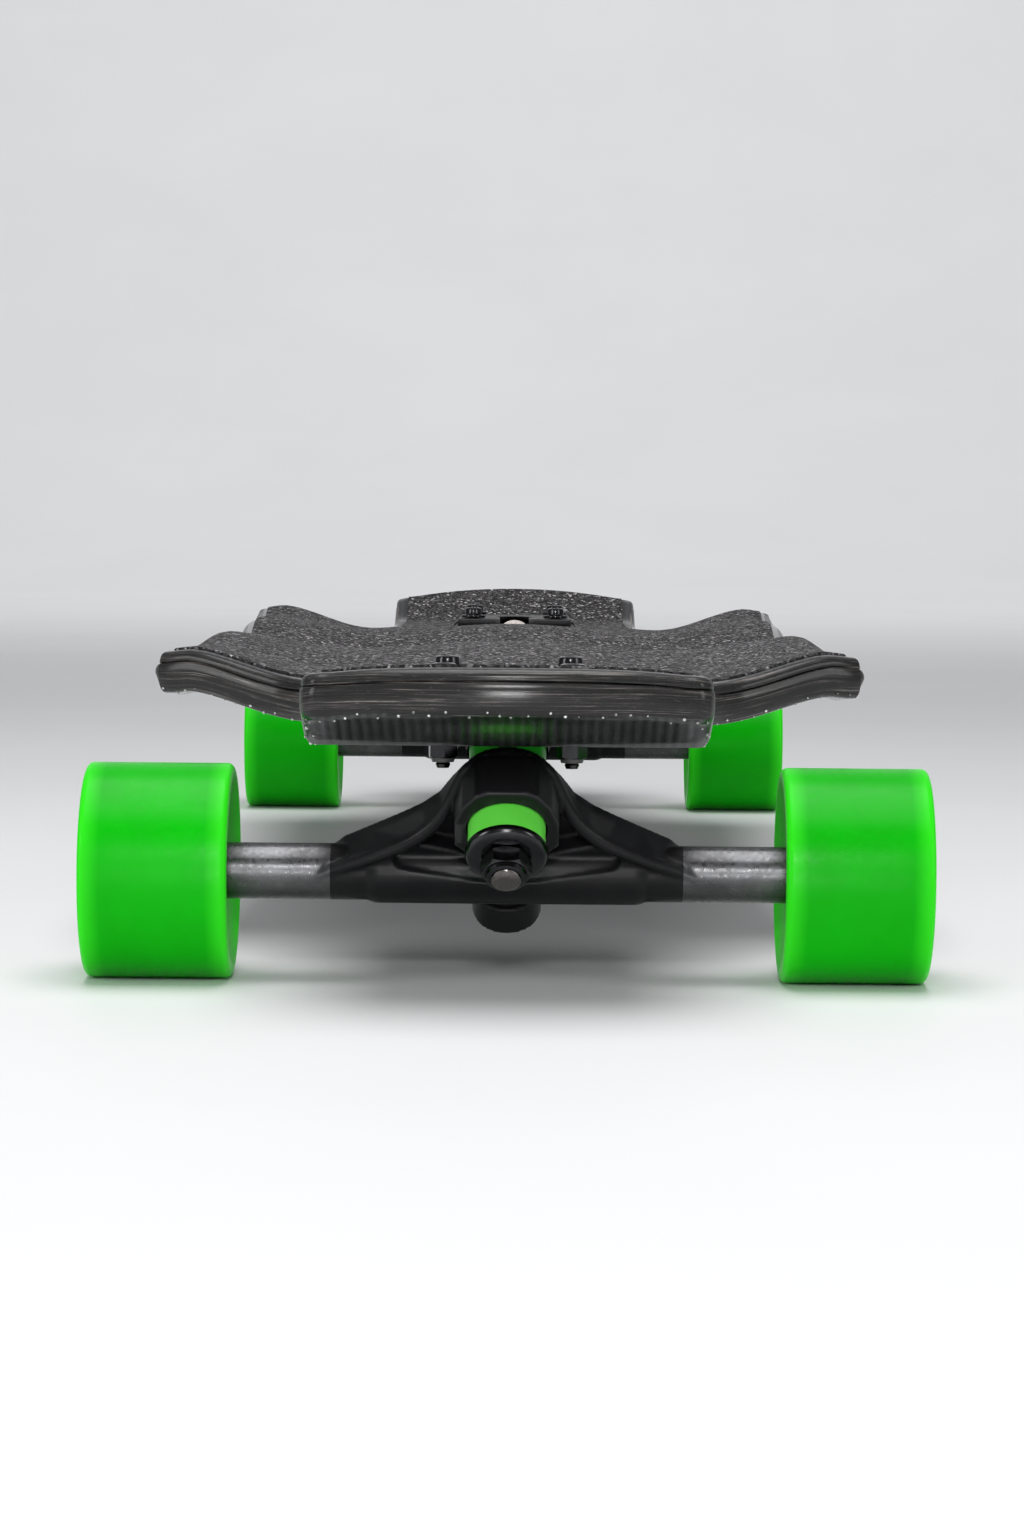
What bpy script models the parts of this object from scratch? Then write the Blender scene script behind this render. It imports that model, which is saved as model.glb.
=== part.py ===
# Drop-through longboard skateboard: deck, two reverse-kingpin trucks and four wheels.
# The origin is on the ground under the middle of the board, the nose points to -Y.
# Lengths below are in millimetres; mm() turns them into metres.
import bmesh
import bpy
from math import asin, cos, exp, pi, radians, sin, sqrt, tan
from mathutils import Matrix, Vector

GAP = 0.3  # clearance between pieces that touch

# deck
WHEELBASE = 750
DECK_LENGTH = 940
DECK_THICKNESS = 15
DECK_TOP = 94  # height of the flat truck mounts
NECK_HALF = 63.5
WING_HALF = 126
WAIST_HALF = 118
NOSE_ARC_RADIUS = 143
RIM_WIDTH = 6
RIM_TOP_DROP = 2.5
RIM_BOTTOM_RISE = 5
HUMP = 7  # rise of the centre line on each foot platform
TROUGH = 9  # drop between the two platforms
CHANNEL_AT, CHANNEL_DROP, RAIL_RISE = 61, 3.3, 6.8
NOSE_RISE, TAIL_SLOPE = 11.5, 0.404
RAIL_ROLL, RAIL_ROLL_FROM = 2.6, 109
FRONT_FLARE, REAR_FLARE, FLARE_AT, FLARE_SPREAD = 6.5, 9, 110, 38
GRIP_THICKNESS = 0.8

# truck, measured from its axle; "out" points to the nearer end of the board
AXLE_HEIGHT = 35
SEAT_OUT, SEAT_HEIGHT = 19, 60
AXLE_RADIUS, AXLE_HALF = 4, 127
HANGER_HALF, HANGER_TUBE_RADIUS = 92, 9.5
BUSHING_RADIUS, BUSHING_LENGTH = 12.8, 15
SEAT_HALF = 7.5
KINGPIN_RADIUS = 4.75
CUP_TIP = 50  # from the bushing seat to the pivot tip, along the steering axis
FLANGE_HALF, FLANGE_IN, FLANGE_OUT, FLANGE_THICKNESS = 28.5, 54, 30, 4.7
BOLT_HALF, BOLT_IN, BOLT_OUT = 20.65, 44, 19.5
LOCK_NUT, THREAD_SHOWN = 5.4, 1.5

# wheel, measured from the middle of the tyre; positive is away from the board
WHEEL_RADIUS, WHEEL_HALF_WIDTH, WHEEL_AT = 35, 24, 113
WHEEL_LIP = 2.4
CORE_RADIUS = 18
CORE_IN, CORE_OUT = -20, 5
BEARING_RADIUS, BEARING_WIDTH = 11, 7
STACK_AT = 92.3  # inner end of the speed ring, from the middle of the truck
SPEED_RING, SPACER = 1, 10


def mm(*values):
    return Vector([v / 1000 for v in values]) if len(values) > 1 else values[0] / 1000


# ---------- scene, collections and materials ----------
for old in list(bpy.data.objects):
    bpy.data.objects.remove(old, do_unlink=True)
board = bpy.data.collections.new("skateboard")
helpers = bpy.data.collections.new("cutters")
for group in (board, helpers):
    bpy.context.scene.collection.children.link(group)


def material(name, colour, roughness, metallic=0.0):
    made = bpy.data.materials.new(name)
    made.use_nodes = True
    shader = made.node_tree.nodes["Principled BSDF"]
    shader.inputs["Base Color"].default_value = (*colour, 1)
    shader.inputs["Roughness"].default_value = roughness
    shader.inputs["Metallic"].default_value = metallic
    return made


laminate = material("laminate", (0.012, 0.012, 0.014), 0.25)
grit = material("grit", (0.03, 0.03, 0.033), 0.9)
casting = material("casting", (0.014, 0.014, 0.015), 0.45)
steel = material("steel", (0.42, 0.42, 0.44), 0.25, 1.0)
blackSteel = material("black_steel", (0.04, 0.04, 0.042), 0.3, 1.0)
urethane = material("urethane", (0.0, 0.55, 0.01), 0.35)
bushingGreen = material("bushing_green", (0.16, 0.75, 0.07), 0.4)
cupPlastic = material("cup_plastic", (0.02, 0.02, 0.02), 0.5)
corePlastic = material("core_plastic", (0.02, 0.02, 0.02), 0.4)


def empty(name, location, parent=None, rotation=(0, 0, 0)):
    made = bpy.data.objects.new(name, None)
    board.objects.link(made)
    made.location, made.rotation_euler, made.parent = location, rotation, parent
    return made


def place(name, mesh, finish, parent=None, location=(0, 0, 0), rotation=(0, 0, 0)):
    made = bpy.data.objects.new(name, mesh)
    board.objects.link(made)
    if finish and not mesh.materials:
        mesh.materials.append(finish)
    made.location, made.rotation_euler, made.parent = location, rotation, parent
    return made


def boolean(target, helper, operation="DIFFERENCE"):
    """Joins or cuts with a helper that shares the target's parent."""
    helper.parent = target.parent
    helper.hide_render = True
    helper.display_type = "WIRE"
    board.objects.unlink(helper)
    helpers.objects.link(helper)
    modifier = target.modifiers.new(helper.name, "BOOLEAN")
    modifier.operation, modifier.object = operation, helper


# ---------- basic shapes ----------
def turnedMesh(name, profile, closed):
    """A profile of (radius, height) points, outer side first and running down."""
    mesh = bpy.data.meshes.new(name)
    count = len(profile)
    edges = [(i, (i + 1) % count) for i in range(count if closed else count - 1)]
    mesh.from_pydata([mm(r, 0, z) for r, z in profile], edges, [])
    return mesh


def turn(made, steps):
    screw = made.modifiers.new("turn", "SCREW")
    screw.steps = screw.render_steps = steps
    screw.use_merge_vertices, screw.merge_threshold = True, 0.00001
    screw.use_smooth_shade = True
    return made


def cylinder(name, radius, low, high, segments=20, axis="Z"):
    """A cylinder from low to high along an axis."""
    bm = bmesh.new()
    bmesh.ops.create_cone(bm, cap_ends=True, segments=segments, radius1=mm(radius),
                          radius2=mm(radius), depth=mm(high - low))
    bmesh.ops.translate(bm, vec=mm(0, 0, (low + high) / 2), verts=bm.verts)
    turnTo = {"Z": Matrix(), "X": Matrix.Rotation(pi / 2, 3, "Y"), "Y": Matrix.Rotation(-pi / 2, 3, "X")}
    bmesh.ops.rotate(bm, matrix=turnTo[axis].to_3x3(), verts=bm.verts)
    mesh = bpy.data.meshes.new(name)
    bm.to_mesh(mesh)
    bm.free()
    return mesh


def box(name, low, high):
    bm = bmesh.new()
    bmesh.ops.create_cube(bm, size=1)
    size = [b - a for a, b in zip(low, high)]
    bmesh.ops.scale(bm, vec=mm(*size), verts=bm.verts)
    bmesh.ops.translate(bm, vec=mm(*[(a + b) / 2 for a, b in zip(low, high)]), verts=bm.verts)
    mesh = bpy.data.meshes.new(name)
    bm.to_mesh(mesh)
    bm.free()
    return mesh


def slab(name, outline, low, high, upright=False):
    """An outline drawn in X and Y and thickened along Z, or drawn in Y and Z and thickened along X."""
    bm = bmesh.new()
    corners = [bm.verts.new(mm(low, *p) if upright else mm(*p, low)) for p in outline]
    face = bm.faces.new(corners)
    lifted = bmesh.ops.extrude_face_region(bm, geom=[face])["geom"]
    along = mm(high - low, 0, 0) if upright else mm(0, 0, high - low)
    bmesh.ops.translate(bm, vec=along, verts=[g for g in lifted if isinstance(g, bmesh.types.BMVert)])
    bmesh.ops.recalc_face_normals(bm, faces=bm.faces)
    mesh = bpy.data.meshes.new(name)
    bm.to_mesh(mesh)
    bm.free()
    return mesh


# ---------- deck ----------
def smooth(t):
    t = min(1, max(0, t))
    return t * t * (3 - 2 * t)


def kick(beyond, start, slope, bend=16):
    d = max(0, beyond - start)
    return slope * (d * d / (2 * bend) if d < bend else d - bend / 2)


def deckHeight(x, y):
    """Height of the top of the deck."""
    across = abs(x)
    inward = WHEELBASE / 2 - abs(y)
    height = DECK_TOP + HUMP * smooth((inward - 58) / 207) - TROUGH * smooth((inward - 265) / 110)
    concave = -CHANNEL_DROP * sin(min(1, across / CHANNEL_AT) * pi / 2) ** 2
    concave += RAIL_RISE * smooth((across - CHANNEL_AT) / 60)
    concave -= RAIL_ROLL * smooth((across - RAIL_ROLL_FROM) / 12)
    height += concave * smooth((inward - 62) / 110)
    flare = FRONT_FLARE if y < 0 else REAR_FLARE
    height += flare * smooth((across - 75) / 40) * exp(-(((inward - FLARE_AT) / FLARE_SPREAD) ** 2))
    return height + (NOSE_RISE * smooth((-inward - 46) / 45) if y < 0 else kick(-inward, 40, TAIL_SLOPE))


def filleted(corners):
    """Points along a path of (x, y, radius, steps) corners, each rounded by its arc."""
    path = []
    for i, (x, y, radius, steps) in enumerate(corners):
        here = Vector((x, y))
        if not radius:
            path.append(here)
            continue
        before = (Vector(corners[i - 1][:2]) - here).normalized()
        after = (Vector(corners[i + 1][:2]) - here).normalized()
        half = before.angle(after) / 2
        centre = here + (before + after).normalized() * radius / sin(half)
        start, sweep = here + before * radius / tan(half) - centre, pi - 2 * half
        side = 1 if before.cross(after) < 0 else -1
        for k in range(steps + 1):
            path.append(centre + Matrix.Rotation(side * sweep * k / steps, 2) @ start)
    return path


def deckOutline():
    """The whole outline, anticlockwise from above."""
    tip, axle = -DECK_LENGTH / 2, -WHEELBASE / 2
    arc = []
    for k in range(7):
        angle = asin(54 / NOSE_ARC_RADIUS) * k / 6
        arc.append(Vector((NOSE_ARC_RADIUS * sin(angle), tip + NOSE_ARC_RADIUS * (1 - cos(angle)))))
    quarter = arc + filleted([
        (*arc[-1], 0, 0),
        (NECK_HALF, tip + 12.5, 7, 3),
        (NECK_HALF, axle + 83, 40, 7),
        (WING_HALF, axle + 116, 7, 4),
        (121.5, axle + 265, 500, 3),
        (WAIST_HALF, 0, 0, 0),
    ])[1:]
    right = quarter + [Vector((p.x, -p.y)) for p in reversed(quarter[:-1])]
    return right + [Vector((-p.x, p.y)) for p in reversed(right[1:-1])]


def deckSheet():
    """The flat outline cut into a grid; the vertices on its edge are marked by a height of 1."""
    bm = bmesh.new()
    bm.faces.new([bm.verts.new((*mm(*p), 0)) for p in deckOutline()])
    bm.normal_update()
    bmesh.ops.inset_region(bm, faces=bm.faces[:], thickness=mm(RIM_WIDTH), use_boundary=True,
                           use_even_offset=True)
    across = [0, 15, 30.5, 44, 56, 68, 81, 96, 110]
    inward = [-78, -60, -46, -32, 56, 78, 96, 113, 135, 165, 210, 265, 320, 375]
    cuts = [("x", s * a) for a in across for s in (1, -1)]
    cuts += [("y", s * (WHEELBASE / 2 - a)) for a in inward for s in (1, -1)]
    for which, at in dict.fromkeys(cuts):
        normal = (1, 0, 0) if which == "x" else (0, 1, 0)
        bmesh.ops.bisect_plane(bm, geom=bm.verts[:] + bm.edges[:] + bm.faces[:], dist=0.00002,
                               plane_co=[c * mm(at) for c in normal], plane_no=normal)
    bmesh.ops.triangulate(bm, faces=bm.faces[:])
    for v in bm.verts:
        v.co.z = 1 if v.is_boundary else 0
    return bm


def thicken(bm, name, low, high, rimLow=0, rimHigh=0):
    """Closes a sheet into a plate between two heights above the deck's top surface."""
    lifted = bmesh.ops.extrude_face_region(bm, geom=bm.faces[:])["geom"]
    upper = {g for g in lifted if isinstance(g, bmesh.types.BMVert)}
    for v in bm.verts:
        edge = v.co.z > 0.5
        offset = high - rimHigh * edge if v in upper else low + rimLow * edge
        v.co.z = mm(deckHeight(v.co.x * 1000, v.co.y * 1000) + offset)
    bmesh.ops.recalc_face_normals(bm, faces=bm.faces)
    mesh = bpy.data.meshes.new(name)
    bm.to_mesh(mesh)
    bm.free()
    return mesh


def inWindow(centre):
    """Inside the space that the grip leaves round each truck's flange."""
    inward = WHEELBASE / 2 - abs(centre.y * 1000)
    return abs(centre.x * 1000) < 30.5 and -32 < inward < 56


deck = place("deck", thicken(deckSheet(), "deck", -DECK_THICKNESS, 0, RIM_BOTTOM_RISE, RIM_TOP_DROP),
             laminate)
gripSheet = deckSheet()
spare = [f for f in gripSheet.faces if inWindow(f.calc_center_median()) or any(v.co.z > 0.5 for v in f.verts)]
bmesh.ops.delete(gripSheet, geom=spare, context="FACES")
for v in gripSheet.verts:
    v.co.z = 0
place("grip_tape", thicken(gripSheet, "grip_tape", GAP, GAP + GRIP_THICKNESS), grit)

cutOuts = bpy.data.collections.new("deck_cutouts")
helpers.children.link(cutOuts)
for end, sign in (("front", -1), ("rear", 1)):
    middle = sign * WHEELBASE / 2
    wide = sorted([middle - sign * 37, middle + sign * 12.5])
    narrow = sorted([middle, middle + sign * 26])
    shapes = [box(end + "_wide", (-21.3, wide[0], 60), (21.3, wide[1], 120)),
              box(end + "_narrow", (-15.5, narrow[0], 60), (15.5, narrow[1], 120))]
    for cutter in shapes:
        made = bpy.data.objects.new(cutter.name, cutter)
        made.hide_render, made.display_type = True, "WIRE"
        cutOuts.objects.link(made)
    for side in (-1, 1):
        for out in (-BOLT_IN, BOLT_OUT):
            made = bpy.data.objects.new(end + "_hole", cylinder(end + "_hole", 2.8, 60, 120, 12))
            made.location = mm(side * BOLT_HALF, middle + sign * out, 0)
            made.hide_render, made.display_type = True, "WIRE"
            cutOuts.objects.link(made)
cut = deck.modifiers.new("cutouts", "BOOLEAN")
cut.operand_type, cut.collection = "COLLECTION", cutOuts


# ---------- trucks ----------
# In the kingpin's frame Z runs down the kingpin, Y along the steering axis, and the bushing seat is the origin.
KINGPIN_TURN = (radians(135), 0, 0)
AXLE_ALONG = -(SEAT_OUT + SEAT_HEIGHT - AXLE_HEIGHT) / sqrt(2)
AXLE_DOWN = (SEAT_HEIGHT - AXLE_HEIGHT - SEAT_OUT) / sqrt(2)
STACK = SEAT_HALF + BUSHING_LENGTH
WASHER = 2
BOSS_FACE = -(STACK + WASHER + 2 * GAP)


def hexNut(name, across, low, high, bore):
    bm = bmesh.new()
    bmesh.ops.create_cone(bm, cap_ends=True, segments=6, radius1=mm(across / sqrt(3)),
                          radius2=mm(across / sqrt(3)), depth=mm(high - low))
    bmesh.ops.translate(bm, vec=mm(0, 0, (low + high) / 2), verts=bm.verts)
    mesh = bpy.data.meshes.new(name)
    bm.to_mesh(mesh)
    bm.free()
    return mesh, cylinder(name + "_bore", bore, low - 5, high + 5, 16)


def sidePlane(along, down):
    """A point of the kingpin's frame as (y, z) in the truck's own frame, whose Y points inward."""
    return (-SEAT_OUT - (along + down) / sqrt(2), SEAT_HEIGHT + (along - down) / sqrt(2))


def baseplate(end, truck):
    plate = place(end + "_baseplate",
                  box("flange", (-FLANGE_HALF, -FLANGE_OUT, DECK_TOP + GAP),
                      (FLANGE_HALF, FLANGE_IN, DECK_TOP + GAP + FLANGE_THICKNESS)), casting, truck)
    inset, top = BOSS_FACE - 0.6, DECK_TOP + 1.2
    bossHigh = sidePlane(13.8, inset)
    web = [(35.5, top), (-10.5, top), (-10.5, bossHigh[1]), bossHigh, sidePlane(-13.8, inset), sidePlane(-43, -10.4),
           sidePlane(-43.5, 2), sidePlane(-53.5, 2), sidePlane(-53.5, -10.8), (35.5, 80)]
    boolean(plate, place(end + "_web", slab("web", web, -10.5, 10.5, True), None), "UNION")
    block = [(34.8, top + 0.7), (-8, top + 0.7), (-8, bossHigh[1] - 3), sidePlane(-2, inset - 1), (34.8, 76)]
    boolean(plate, place(end + "_block", slab("block", block, -20.5, 20.5, True), None), "UNION")
    seat = mm(0, -SEAT_OUT, SEAT_HEIGHT)
    for name, mesh, operation in (
        ("boss", cylinder("boss", 14.5, -38, BOSS_FACE), "UNION"),
        ("tower", cylinder("tower", 11.5, -54.5, -42, axis="Y"), "UNION"),
        ("pocket", cylinder("pocket", 9.2, -65, -37.7), "DIFFERENCE"),
        ("kingpin_bore", cylinder("kingpin_bore", KINGPIN_RADIUS + GAP, -60, -20), "DIFFERENCE"),
        ("cup_bore", cylinder("cup_bore", 9.3, -52.5, -38, axis="Y"), "DIFFERENCE"),
    ):
        boolean(plate, place(f"{end}_{name}", mesh, None, None, seat, KINGPIN_TURN), operation)
    boolean(plate, place(end + "_notch", box("notch", (-7.5, 16, DECK_TOP + GAP - 2), (7.5, 60, 110)), None))
    for side in (-1, 1):
        for inward in (BOLT_IN, -BOLT_OUT):
            hole = place(end + "_flange_hole", cylinder("flange_hole", 2.8, 80, 110, 12), None)
            hole.location = mm(side * BOLT_HALF, inward, 0)
            boolean(plate, hole)


def hanger(end, steer):
    made = place(end + "_hanger", cylinder("hanger", HANGER_TUBE_RADIUS, -HANGER_HALF, HANGER_HALF, axis="X"),
                 casting, steer)
    made.data.transform(Matrix.Translation(mm(0, AXLE_ALONG, AXLE_DOWN)))
    half = [(17, 6.5), (25, -6), (52, -24), (56, -31), (50, -38), (14, -41)]
    plate = half + [(-x, y) for x, y in reversed(half)]
    for name, mesh, operation in (
        ("plate", slab("plate", plate, -5, 10), "UNION"),
        ("seat_boss", cylinder("seat_boss", 15.5, -9.5, 12.5), "UNION"),
        ("stem", cylinder("stem", 7, -CUP_TIP + 1, -20, axis="Y"), "UNION"),
        ("neck", box("neck", (-13, -38, -9), (13, -8, 11)), "UNION"),
        ("bore", cylinder("bore", 8, -20, 20), "DIFFERENCE"),
        ("board_seat", cylinder("board_seat", BUSHING_RADIUS + 0.4, -20, -SEAT_HALF + GAP), "DIFFERENCE"),
        ("road_seat", cylinder("road_seat", BUSHING_RADIUS + 0.4, SEAT_HALF - GAP, 20), "DIFFERENCE"),
    ):
        boolean(made, place(f"{end}_{name}", mesh, None), operation)
    axleHole = cylinder("axle_hole", AXLE_RADIUS + GAP, -100, 100, axis="X")
    axleHole.transform(Matrix.Translation(mm(0, AXLE_ALONG, AXLE_DOWN)))
    boolean(made, place(end + "_axle_hole", axleHole, None))


def truckPieces(end, sign):
    truck = empty(end + "_truck", mm(0, sign * WHEELBASE / 2, 0), None, (0, 0, 0 if sign < 0 else pi))
    seat = mm(0, -SEAT_OUT, SEAT_HEIGHT)
    fixed = empty(end + "_kingpin_frame", seat, truck, KINGPIN_TURN)
    steer = empty(end + "_steer", seat, truck, KINGPIN_TURN)
    baseplate(end, truck)
    hanger(end, steer)

    cup = [(9, -42.3), (9, -52), (0, -52), (0, -CUP_TIP), (7.3, -CUP_TIP), (7.3, -42.3)]
    pivotCup = place(end + "_pivot_cup", turnedMesh("cup", cup, False), cupPlastic, fixed, rotation=(-pi / 2, 0, 0))
    pivotCup.data.edges.add(1)
    pivotCup.data.edges[-1].vertices = (5, 0)
    turn(pivotCup, 16)

    headTop, shankEnd = BOSS_FACE - 13.5 - 7, STACK + WASHER + 9.5
    pin = [(0, shankEnd), (3.6, shankEnd), (KINGPIN_RADIUS, shankEnd - 1), (KINGPIN_RADIUS, headTop + 7),
           (7.9, headTop + 7), (7.9, headTop), (0, headTop)]
    turn(place(end + "_kingpin", turnedMesh("kingpin", pin, False), blackSteel, fixed), 16)
    nut, nutBore = hexNut("kingpin_nut", 14.3, STACK + WASHER + 2 * GAP, STACK + WASHER + 2 * GAP + 7,
                          KINGPIN_RADIUS + GAP)
    boolean(place(end + "_kingpin_nut", nut, blackSteel, fixed), place(end + "_nut_bore", nutBore, None))

    bore = KINGPIN_RADIUS + GAP
    for name, side in (("board", -1), ("road", 1)):
        low, high = sorted([side * SEAT_HALF, side * STACK])
        bushing = [(BUSHING_RADIUS - 1, high), (BUSHING_RADIUS, high - 1), (BUSHING_RADIUS, low + 1),
                   (BUSHING_RADIUS - 1, low), (bore, low), (bore, high)]
        turn(place(f"{end}_{name}_bushing", turnedMesh("bushing", bushing, True), bushingGreen, fixed), 20)
        low, high = sorted([side * (STACK + GAP), side * (STACK + GAP + WASHER)])
        washer = [(13.2, high), (13.2, low), (bore, low), (bore, high)]
        turn(place(f"{end}_{name}_washer", turnedMesh("washer", washer, True), blackSteel, fixed), 20)

    axleLine = empty(end + "_axle_line", mm(0, AXLE_ALONG, AXLE_DOWN), steer, (-KINGPIN_TURN[0], 0, 0))
    rod = [(0, AXLE_HALF), (AXLE_RADIUS - 0.6, AXLE_HALF), (AXLE_RADIUS, AXLE_HALF - 0.6),
           (AXLE_RADIUS, 0.6 - AXLE_HALF), (AXLE_RADIUS - 0.6, -AXLE_HALF), (0, -AXLE_HALF)]
    turn(place(end + "_axle", turnedMesh("axle", rod, False), steel, axleLine, rotation=(0, pi / 2, 0)), 16)
    return truck, axleLine


def mountBolts(end, truck):
    head, washerTop = DECK_TOP + GAP + FLANGE_THICKNESS + GAP + 5, DECK_TOP + 2 * GAP + FLANGE_THICKNESS + 1.2
    washerLow, nutTop = washerTop - 1.2, DECK_TOP - DECK_THICKNESS - GAP
    nutLow = nutTop - LOCK_NUT
    bolt = [(0, head), (3.6, head), (4.2, head - 0.8), (4.2, washerTop), (6, washerTop), (6, washerLow),
            (2.4, washerLow), (2.4, nutTop), (4.9, nutTop), (4.9, nutLow), (2.4, nutLow),
            (2.4, nutLow - THREAD_SHOWN), (0, nutLow - THREAD_SHOWN)]
    mesh = turnedMesh("mount_bolt", bolt, False)
    number = 0
    for side in (-1, 1):
        for inward in (-BOLT_OUT, BOLT_IN):
            number += 1
            turn(place(f"{end}_mount_bolt_{number}", mesh, steel, truck, mm(side * BOLT_HALF, inward, 0)), 8)


# ---------- wheels ----------
def tyreProfile():
    """Outer side first, from the face away from the board towards it."""
    lip, centre = [], WHEEL_HALF_WIDTH - WHEEL_LIP
    for k in range(4):
        angle = pi / 2 * (1 - k / 3)
        lip.append((WHEEL_RADIUS - WHEEL_LIP + WHEEL_LIP * cos(angle), centre + WHEEL_LIP * sin(angle)))
    outer = lip + [(r, -z) for r, z in reversed(lip)]
    bore = CORE_RADIUS + GAP
    return outer + [(22, -WHEEL_HALF_WIDTH), (bore, CORE_IN), (bore, CORE_OUT), (20, CORE_OUT + 1.5),
                    (24, WHEEL_HALF_WIDTH)]


def wheel(end, side, truckSign, truckLine):
    """side is the world side, +1 at +X; the truck's own X is turned round on the rear truck."""
    name = f"{end}_{'left' if side > 0 else 'right'}"
    local = side * (1 if truckSign < 0 else -1)
    hub = empty(name + "_wheel", mm(local * WHEEL_AT, 0, 0), truckLine, (0, local * pi / 2, 0))
    turn(place(name + "_tyre", turnedMesh("tyre", tyreProfile(), True), urethane, hub), 36)

    first = STACK_AT - WHEEL_AT + SPEED_RING  # inner end of the first bearing
    second = first + BEARING_WIDTH + SPACER
    last = second + BEARING_WIDTH
    seat = BEARING_RADIUS + GAP
    core = [(CORE_RADIUS, CORE_OUT - 0.5), (CORE_RADIUS, CORE_IN + 0.5), (seat, CORE_IN + 0.5),
            (seat, first + BEARING_WIDTH + GAP), (9, first + BEARING_WIDTH + GAP), (9, second - GAP),
            (seat, second - GAP), (seat, CORE_OUT - 0.5)]
    turn(place(name + "_core", turnedMesh("core", core, True), corePlastic, hub), 20)

    for place_, low in (("inner", first), ("outer", second)):
        high, shield = low + BEARING_WIDTH, 6.9
        race = [(BEARING_RADIUS, high), (BEARING_RADIUS, low), (shield, low), (shield, low + 0.8),
                (9.2, low + 0.8), (9.2, high - 0.8), (shield, high - 0.8), (shield, high)]
        turn(place(f"{name}_{place_}_bearing", turnedMesh("bearing", race, True), steel, hub), 14)

    bore, ring, inner = AXLE_RADIUS + GAP, 5.6, 6.2
    sleeve = [(ring, last + SPEED_RING), (inner, last), (inner, second), (ring, second),
              (ring, first + BEARING_WIDTH), (inner, first + BEARING_WIDTH), (inner, first),
              (ring, first - SPEED_RING), (bore, first - SPEED_RING), (bore, last + SPEED_RING)]
    turn(place(name + "_spacer", turnedMesh("spacer", sleeve, True), steel, hub), 12)

    nutLow = last + SPEED_RING + GAP
    nut, nutBore = hexNut("axle_nut", 13, nutLow, nutLow + 6, bore)
    boolean(place(name + "_axle_nut", nut, steel, hub), place(name + "_axle_nut_bore", nutBore, None))


for end, sign in (("front", -1), ("rear", 1)):
    truck, axleLine = truckPieces(end, sign)
    mountBolts(end, truck)
    for side in (1, -1):
        wheel(end, side, sign, axleLine)

for made in board.objects:
    if made.type == "MESH":
        made.data.set_sharp_from_angle(angle=radians(35))
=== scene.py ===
import random
from math import asin, cos, exp, pi, radians, sin, sqrt, tan

import bmesh
import bpy
from mathutils import Matrix, Vector


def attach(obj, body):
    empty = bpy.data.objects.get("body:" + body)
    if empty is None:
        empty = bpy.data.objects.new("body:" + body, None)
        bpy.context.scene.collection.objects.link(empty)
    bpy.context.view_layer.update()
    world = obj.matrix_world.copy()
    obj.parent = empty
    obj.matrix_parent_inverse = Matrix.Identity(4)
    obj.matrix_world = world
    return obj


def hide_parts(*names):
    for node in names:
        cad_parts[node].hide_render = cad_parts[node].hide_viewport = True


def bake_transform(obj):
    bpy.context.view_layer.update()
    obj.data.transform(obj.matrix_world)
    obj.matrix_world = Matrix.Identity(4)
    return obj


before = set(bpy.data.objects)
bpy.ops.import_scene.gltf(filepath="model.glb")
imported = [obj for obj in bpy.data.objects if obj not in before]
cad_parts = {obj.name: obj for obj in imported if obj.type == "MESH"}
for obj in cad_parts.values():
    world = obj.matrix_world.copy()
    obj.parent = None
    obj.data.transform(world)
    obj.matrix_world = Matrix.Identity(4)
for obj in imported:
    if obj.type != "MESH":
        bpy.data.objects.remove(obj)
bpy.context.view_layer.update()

# Longboard skateboard, nose towards -Y. Lengths in the dictionaries are in millimetres.
print("frame loaded:", len(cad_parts), "nodes")
ends = {"front": -1, "rear": 1}  # which way each truck lies along Y
sides = {"left": 1, "right": -1}  # which way each wheel lies along X


# ---- small tools ----
def mm(value):
    return value / 1000


def mmPoint(*values):
    return Vector([v / 1000 for v in values])


def clearSelection():
    if bpy.context.mode != "OBJECT":
        bpy.ops.object.mode_set(mode="OBJECT")
    bpy.ops.object.select_all(action="DESELECT")


def use(obj):
    clearSelection()
    obj.select_set(True)
    bpy.context.view_layer.objects.active = obj
    return obj


def newest(name):
    obj = bpy.context.view_layer.objects.active
    obj.name = obj.data.name = name
    return obj


def discard(*objs):
    for obj in objs:
        bpy.data.objects.remove(obj, do_unlink=True)


def startEdit():
    bpy.ops.object.mode_set(mode="EDIT")
    bpy.ops.mesh.select_all(action="SELECT")


def endEdit():
    # every face turned outwards, then back to object mode
    bpy.ops.mesh.select_all(action="SELECT")
    bpy.ops.mesh.normals_make_consistent(inside=False)
    bpy.ops.object.mode_set(mode="OBJECT")


def mirrored(points):
    # the points of a right half, followed by their mirror images back to the start
    return points + [(-point[0], *point[1:]) for point in reversed(points)]


def hexagon(radius):
    return [(radius * cos(k * pi / 3), radius * sin(k * pi / 3)) for k in range(6)]


def settle(obj, matrix=None):
    # moves the shape into its mesh, so that the object itself stays at the origin
    move = (matrix or Matrix()) @ obj.matrix_basis
    obj.data.transform(move)
    obj.matrix_basis = Matrix()
    return obj


def copyOf(obj, name, matrix):
    twin = obj.copy()
    twin.data = obj.data.copy()
    twin.name = twin.data.name = name
    bpy.context.scene.collection.objects.link(twin)
    return settle(twin, matrix)


def applyModifiers(obj):
    use(obj)
    for modifier in list(obj.modifiers):
        bpy.ops.object.modifier_apply(modifier=modifier.name)
    return obj


def boolean(obj, tool, operation="DIFFERENCE"):
    cut = obj.modifiers.new("cut", "BOOLEAN")
    cut.operation, cut.object = operation, tool
    applyModifiers(obj)
    discard(tool)
    return obj


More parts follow.
